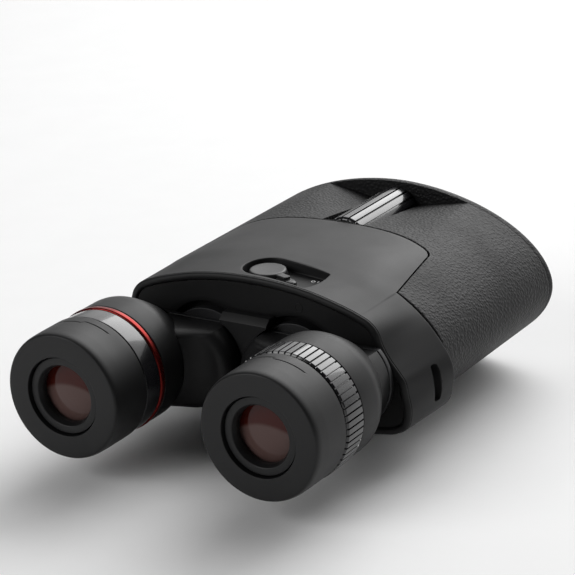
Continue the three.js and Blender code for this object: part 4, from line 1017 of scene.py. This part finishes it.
class BINO_OT_eyepieces(BinocularOperator, bpy.types.Operator):
    """Eyecups, ocular rings, eye lenses, the left bands and the dioptre ring"""

    bl_idname = "bino.eyepieces"
    bl_label = "Eyepieces"

    def build(self, context):
        for word, side in SIDES:
            place(f"cup_skin_{word}", flip(eyecup_skin(), side), f"eyecup_{word}", "cup",
                  MATERIALS["cup"], 50)
            place(f"ocular_skin_{word}", flip(ocular_skin(), side), f"ocular_cell_{word}", "inner",
                  MATERIALS["cup"])
            place(f"eye_lens_skin_{word}", flip(eye_lens_skin(), side), f"eye_lens_{word}", "glass",
                  MATERIALS["glass"])
        band = turned([(17.5, 16.37), (20.1, 16.37), (20.1, 23.37), (17.5, 23.37)], 0.25, -EYE_X, 0, 160)
        place("band_skin", band, "barrel_band", "gloss", MATERIALS["gloss"])
        ring = turned([(17.5, 23.67), (20.15, 23.67), (20.45, 24.1), (20.45, 25.3), (20.3, 25.77),
                       (17.5, 25.77)],
                      0.22, -EYE_X, 0, 160)
        place("red_skin", ring, "red_ring", "red", MATERIALS["red"])
        grip = turned([(17.7, 16.4), (19.9, 16.4), (20.7, 16.85), (20.7, 25.3), (19.9, 25.75), (17.7, 25.75)],
                      0.2, EYE_X, 0, 900, ribs(60, 0.65, 0.2, 19.0))
        place("dioptre_skin", grip, "dioptre_ring", "gloss", MATERIALS["gloss"], 35)


class BINO_OT_controls(BinocularOperator, bpy.types.Operator):
    """Focus wheel, power switch, its mark and the indicator lens"""

    bl_idname = "bino.controls"
    bl_label = "Controls"

    def build(self, context):
        wheel = turned([(2.4, 111.6), (6.9, 111.6), (WHEEL_R, 112.3), (WHEEL_R, 146.5), (6.9, 147.1),
                        (2.4, 147.1)],
                       0.35, 0, WHEEL_Z, 432, ribs(18, 0.8, 0.2, 6.2))
        place("wheel_skin", wheel, "focus_wheel", "gloss", MATERIALS["gloss"], 35)
        place("switch_skin", switch_skin(), "power_switch", "shell", MATERIALS["lit_knob"], 30)
        dome = turned([(0, 54.9), (1.2, 54.9), (1.2, 53.5), (1.45, 53.5), (1.45, 57), (0, 57)],
                      (0, 0.1, 0.1, 0.1, 0, 0), 17.2, 18.8, 48)
        # painted shade: the indicator lens takes the dark shell finish in place of glass, so it shows as a
        # dark hole
        place("indicator_skin", dome, "indicator_lens", "glass", MATERIALS["shell"])
        self.mark()

    def mark(self):
        """Small ring and bar printed on the recess floor beside the lever's far stop."""
        skin = Skin()
        for x, y, long, wide in ((15.0, 66.3, 0.7, 0.7), (16.7, 66.5, 0.14, 0.7)):
            angle = np.arange(48) / 48 * TURN
            ring = np.stack([np.cos(angle) * long, np.sin(angle) * wide], 1)
            inner = 0.62 if long > 0.5 else 0.0
            rows = [(inner, 22.7), (1.0, 22.7), (1.0, 22.76), (inner, 22.76)]
            grid = [np.column_stack([ring * s + (x, y), np.full(48, z)]) for s, z in rows]
            skin.grid(np.array(grid), rows_close=True)
        obj = bpy.data.objects.new("switch_mark", skin.mesh("switch_mark", 30))
        bpy.context.scene.collection.objects.link(obj)
        obj.data.materials.append(MATERIALS["white"])
        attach(obj, body_of(frame["nodes"]["rear_housing"])[0])


class BINO_OT_studio(BinocularOperator, bpy.types.Operator):
    """Floor, soft lamps, surroundings and camera"""

    bl_idname = "bino.studio"
    bl_label = "Studio"

    def build(self, context):
        scene = context.scene
        half = scene.bino_studio.floor / 2
        line = np.linspace(-half, half, 25)
        x, y = np.meshgrid(line, line)
        mesh = bpy.data.meshes.new("floor")
        index = np.arange(625).reshape(25, 25)
        quads = np.stack([index[:-1, :-1], index[:-1, 1:], index[1:, 1:], index[1:, :-1]], -1).reshape(-1, 4)
        mesh.from_pydata(np.stack([x, y, x * 0], -1).reshape(-1, 3).tolist(), [], quads.tolist())
        floor = bpy.data.objects.new("floor", mesh)
        mesh.materials.append(MATERIALS["floor"])
        scene.collection.objects.link(floor)
        self.lamp("key", (0.02, 0.85, 0.75), (0.9, 0.7), scene.bino_studio.key)
        self.lamp("left", (-0.7, -1.1, 0.7), (0.8, 0.8), 8.0)
        self.surroundings(scene)
        self.camera(scene)

    def lamp(self, name, spot, size, power):
        """Rectangular lamp that faces the middle of the object."""
        light = bpy.data.lights.new(name, "AREA")
        light.shape = "RECTANGLE"
        light.size, light.size_y = size
        light.energy = power
        obj = bpy.data.objects.new(name, light)
        obj.location = spot
        away = obj.location - Matrix.Translation((0, 0, 0.03)).translation
        obj.rotation_euler = away.to_track_quat("Z", "Y").to_euler()
        bpy.context.scene.collection.objects.link(obj)

    def surroundings(self, scene):
        """Bright patch above and beyond the object, nearly dark elsewhere."""
        world = bpy.data.worlds.new("studio")
        scene.world = world
        world.use_nodes = True
        tree = world.node_tree
        way = Wire(tree, tree.nodes.new("ShaderNodeTexCoord").outputs["Generated"])
        split = way.node("ShaderNodeSeparateXYZ", 0, None, i0=way)
        axes = split.socket.node.outputs
        ahead = Wire(tree, axes[1]) * 0.8 + Wire(tree, axes[2]) * 0.6 + split * 0.05
        level = ahead.step(0.45, 1.0) * 1.7 + 0.05
        tree.links.new(level.socket, tree.nodes["Background"].inputs["Strength"])
        tree.nodes["Background"].inputs["Color"].default_value = (1, 1, 1, 1)

    def camera(self, scene):
        camera = bpy.data.cameras.new("camera")
        camera.sensor_width = 36
        camera.lens = 156.07
        camera.clip_start, camera.clip_end = 0.01, 20
        obj = bpy.data.objects.new("camera", camera)
        obj.matrix_world = Matrix((
            (0.8519, -0.1458, 0.5030, 0.39706),
            (0.5218, 0.3174, -0.7918, -0.62550),
            (-0.0442, 0.9370, 0.3465, 0.31825),
            (0, 0, 0, 1),
        ))
        scene.collection.objects.link(obj)
        scene.camera = obj
        scene.view_settings.view_transform = "Standard"


class BINO_PT_panel(bpy.types.Panel):
    """Lists the settings and the building steps"""

    bl_idname = "BINO_PT_panel"
    bl_label = "Binoculars"
    bl_space_type = "VIEW_3D"
    bl_region_type = "UI"
    bl_category = "Binoculars"

    def draw(self, context):
        for group in (context.scene.bino_colours, context.scene.bino_studio):
            for name in group.__annotations__:
                self.layout.prop(group, name)
        for step in STEPS:
            self.layout.operator(step.bl_idname)


STEPS = (BINO_OT_materials, BINO_OT_housing, BINO_OT_front, BINO_OT_arms, BINO_OT_eyepieces, BINO_OT_controls,
         BINO_OT_studio)
CLASSES = (BinocularColours, BinocularStudio, *STEPS, BINO_PT_panel)


def register():
    for entry in CLASSES:
        bpy.utils.register_class(entry)
    bpy.types.Scene.bino_colours = PointerProperty(type=BinocularColours)
    bpy.types.Scene.bino_studio = PointerProperty(type=BinocularStudio)


def unregister():
    del bpy.types.Scene.bino_studio
    del bpy.types.Scene.bino_colours
    for entry in reversed(CLASSES):
        bpy.utils.unregister_class(entry)


def main():
    """Registers the add-on and runs every step in order."""
    register()
    for step in STEPS:
        group, name = step.bl_idname.split(".")
        getattr(getattr(bpy.ops, group), name)()
    bpy.context.view_layer.update()


if __name__ == "__main__":
    main()
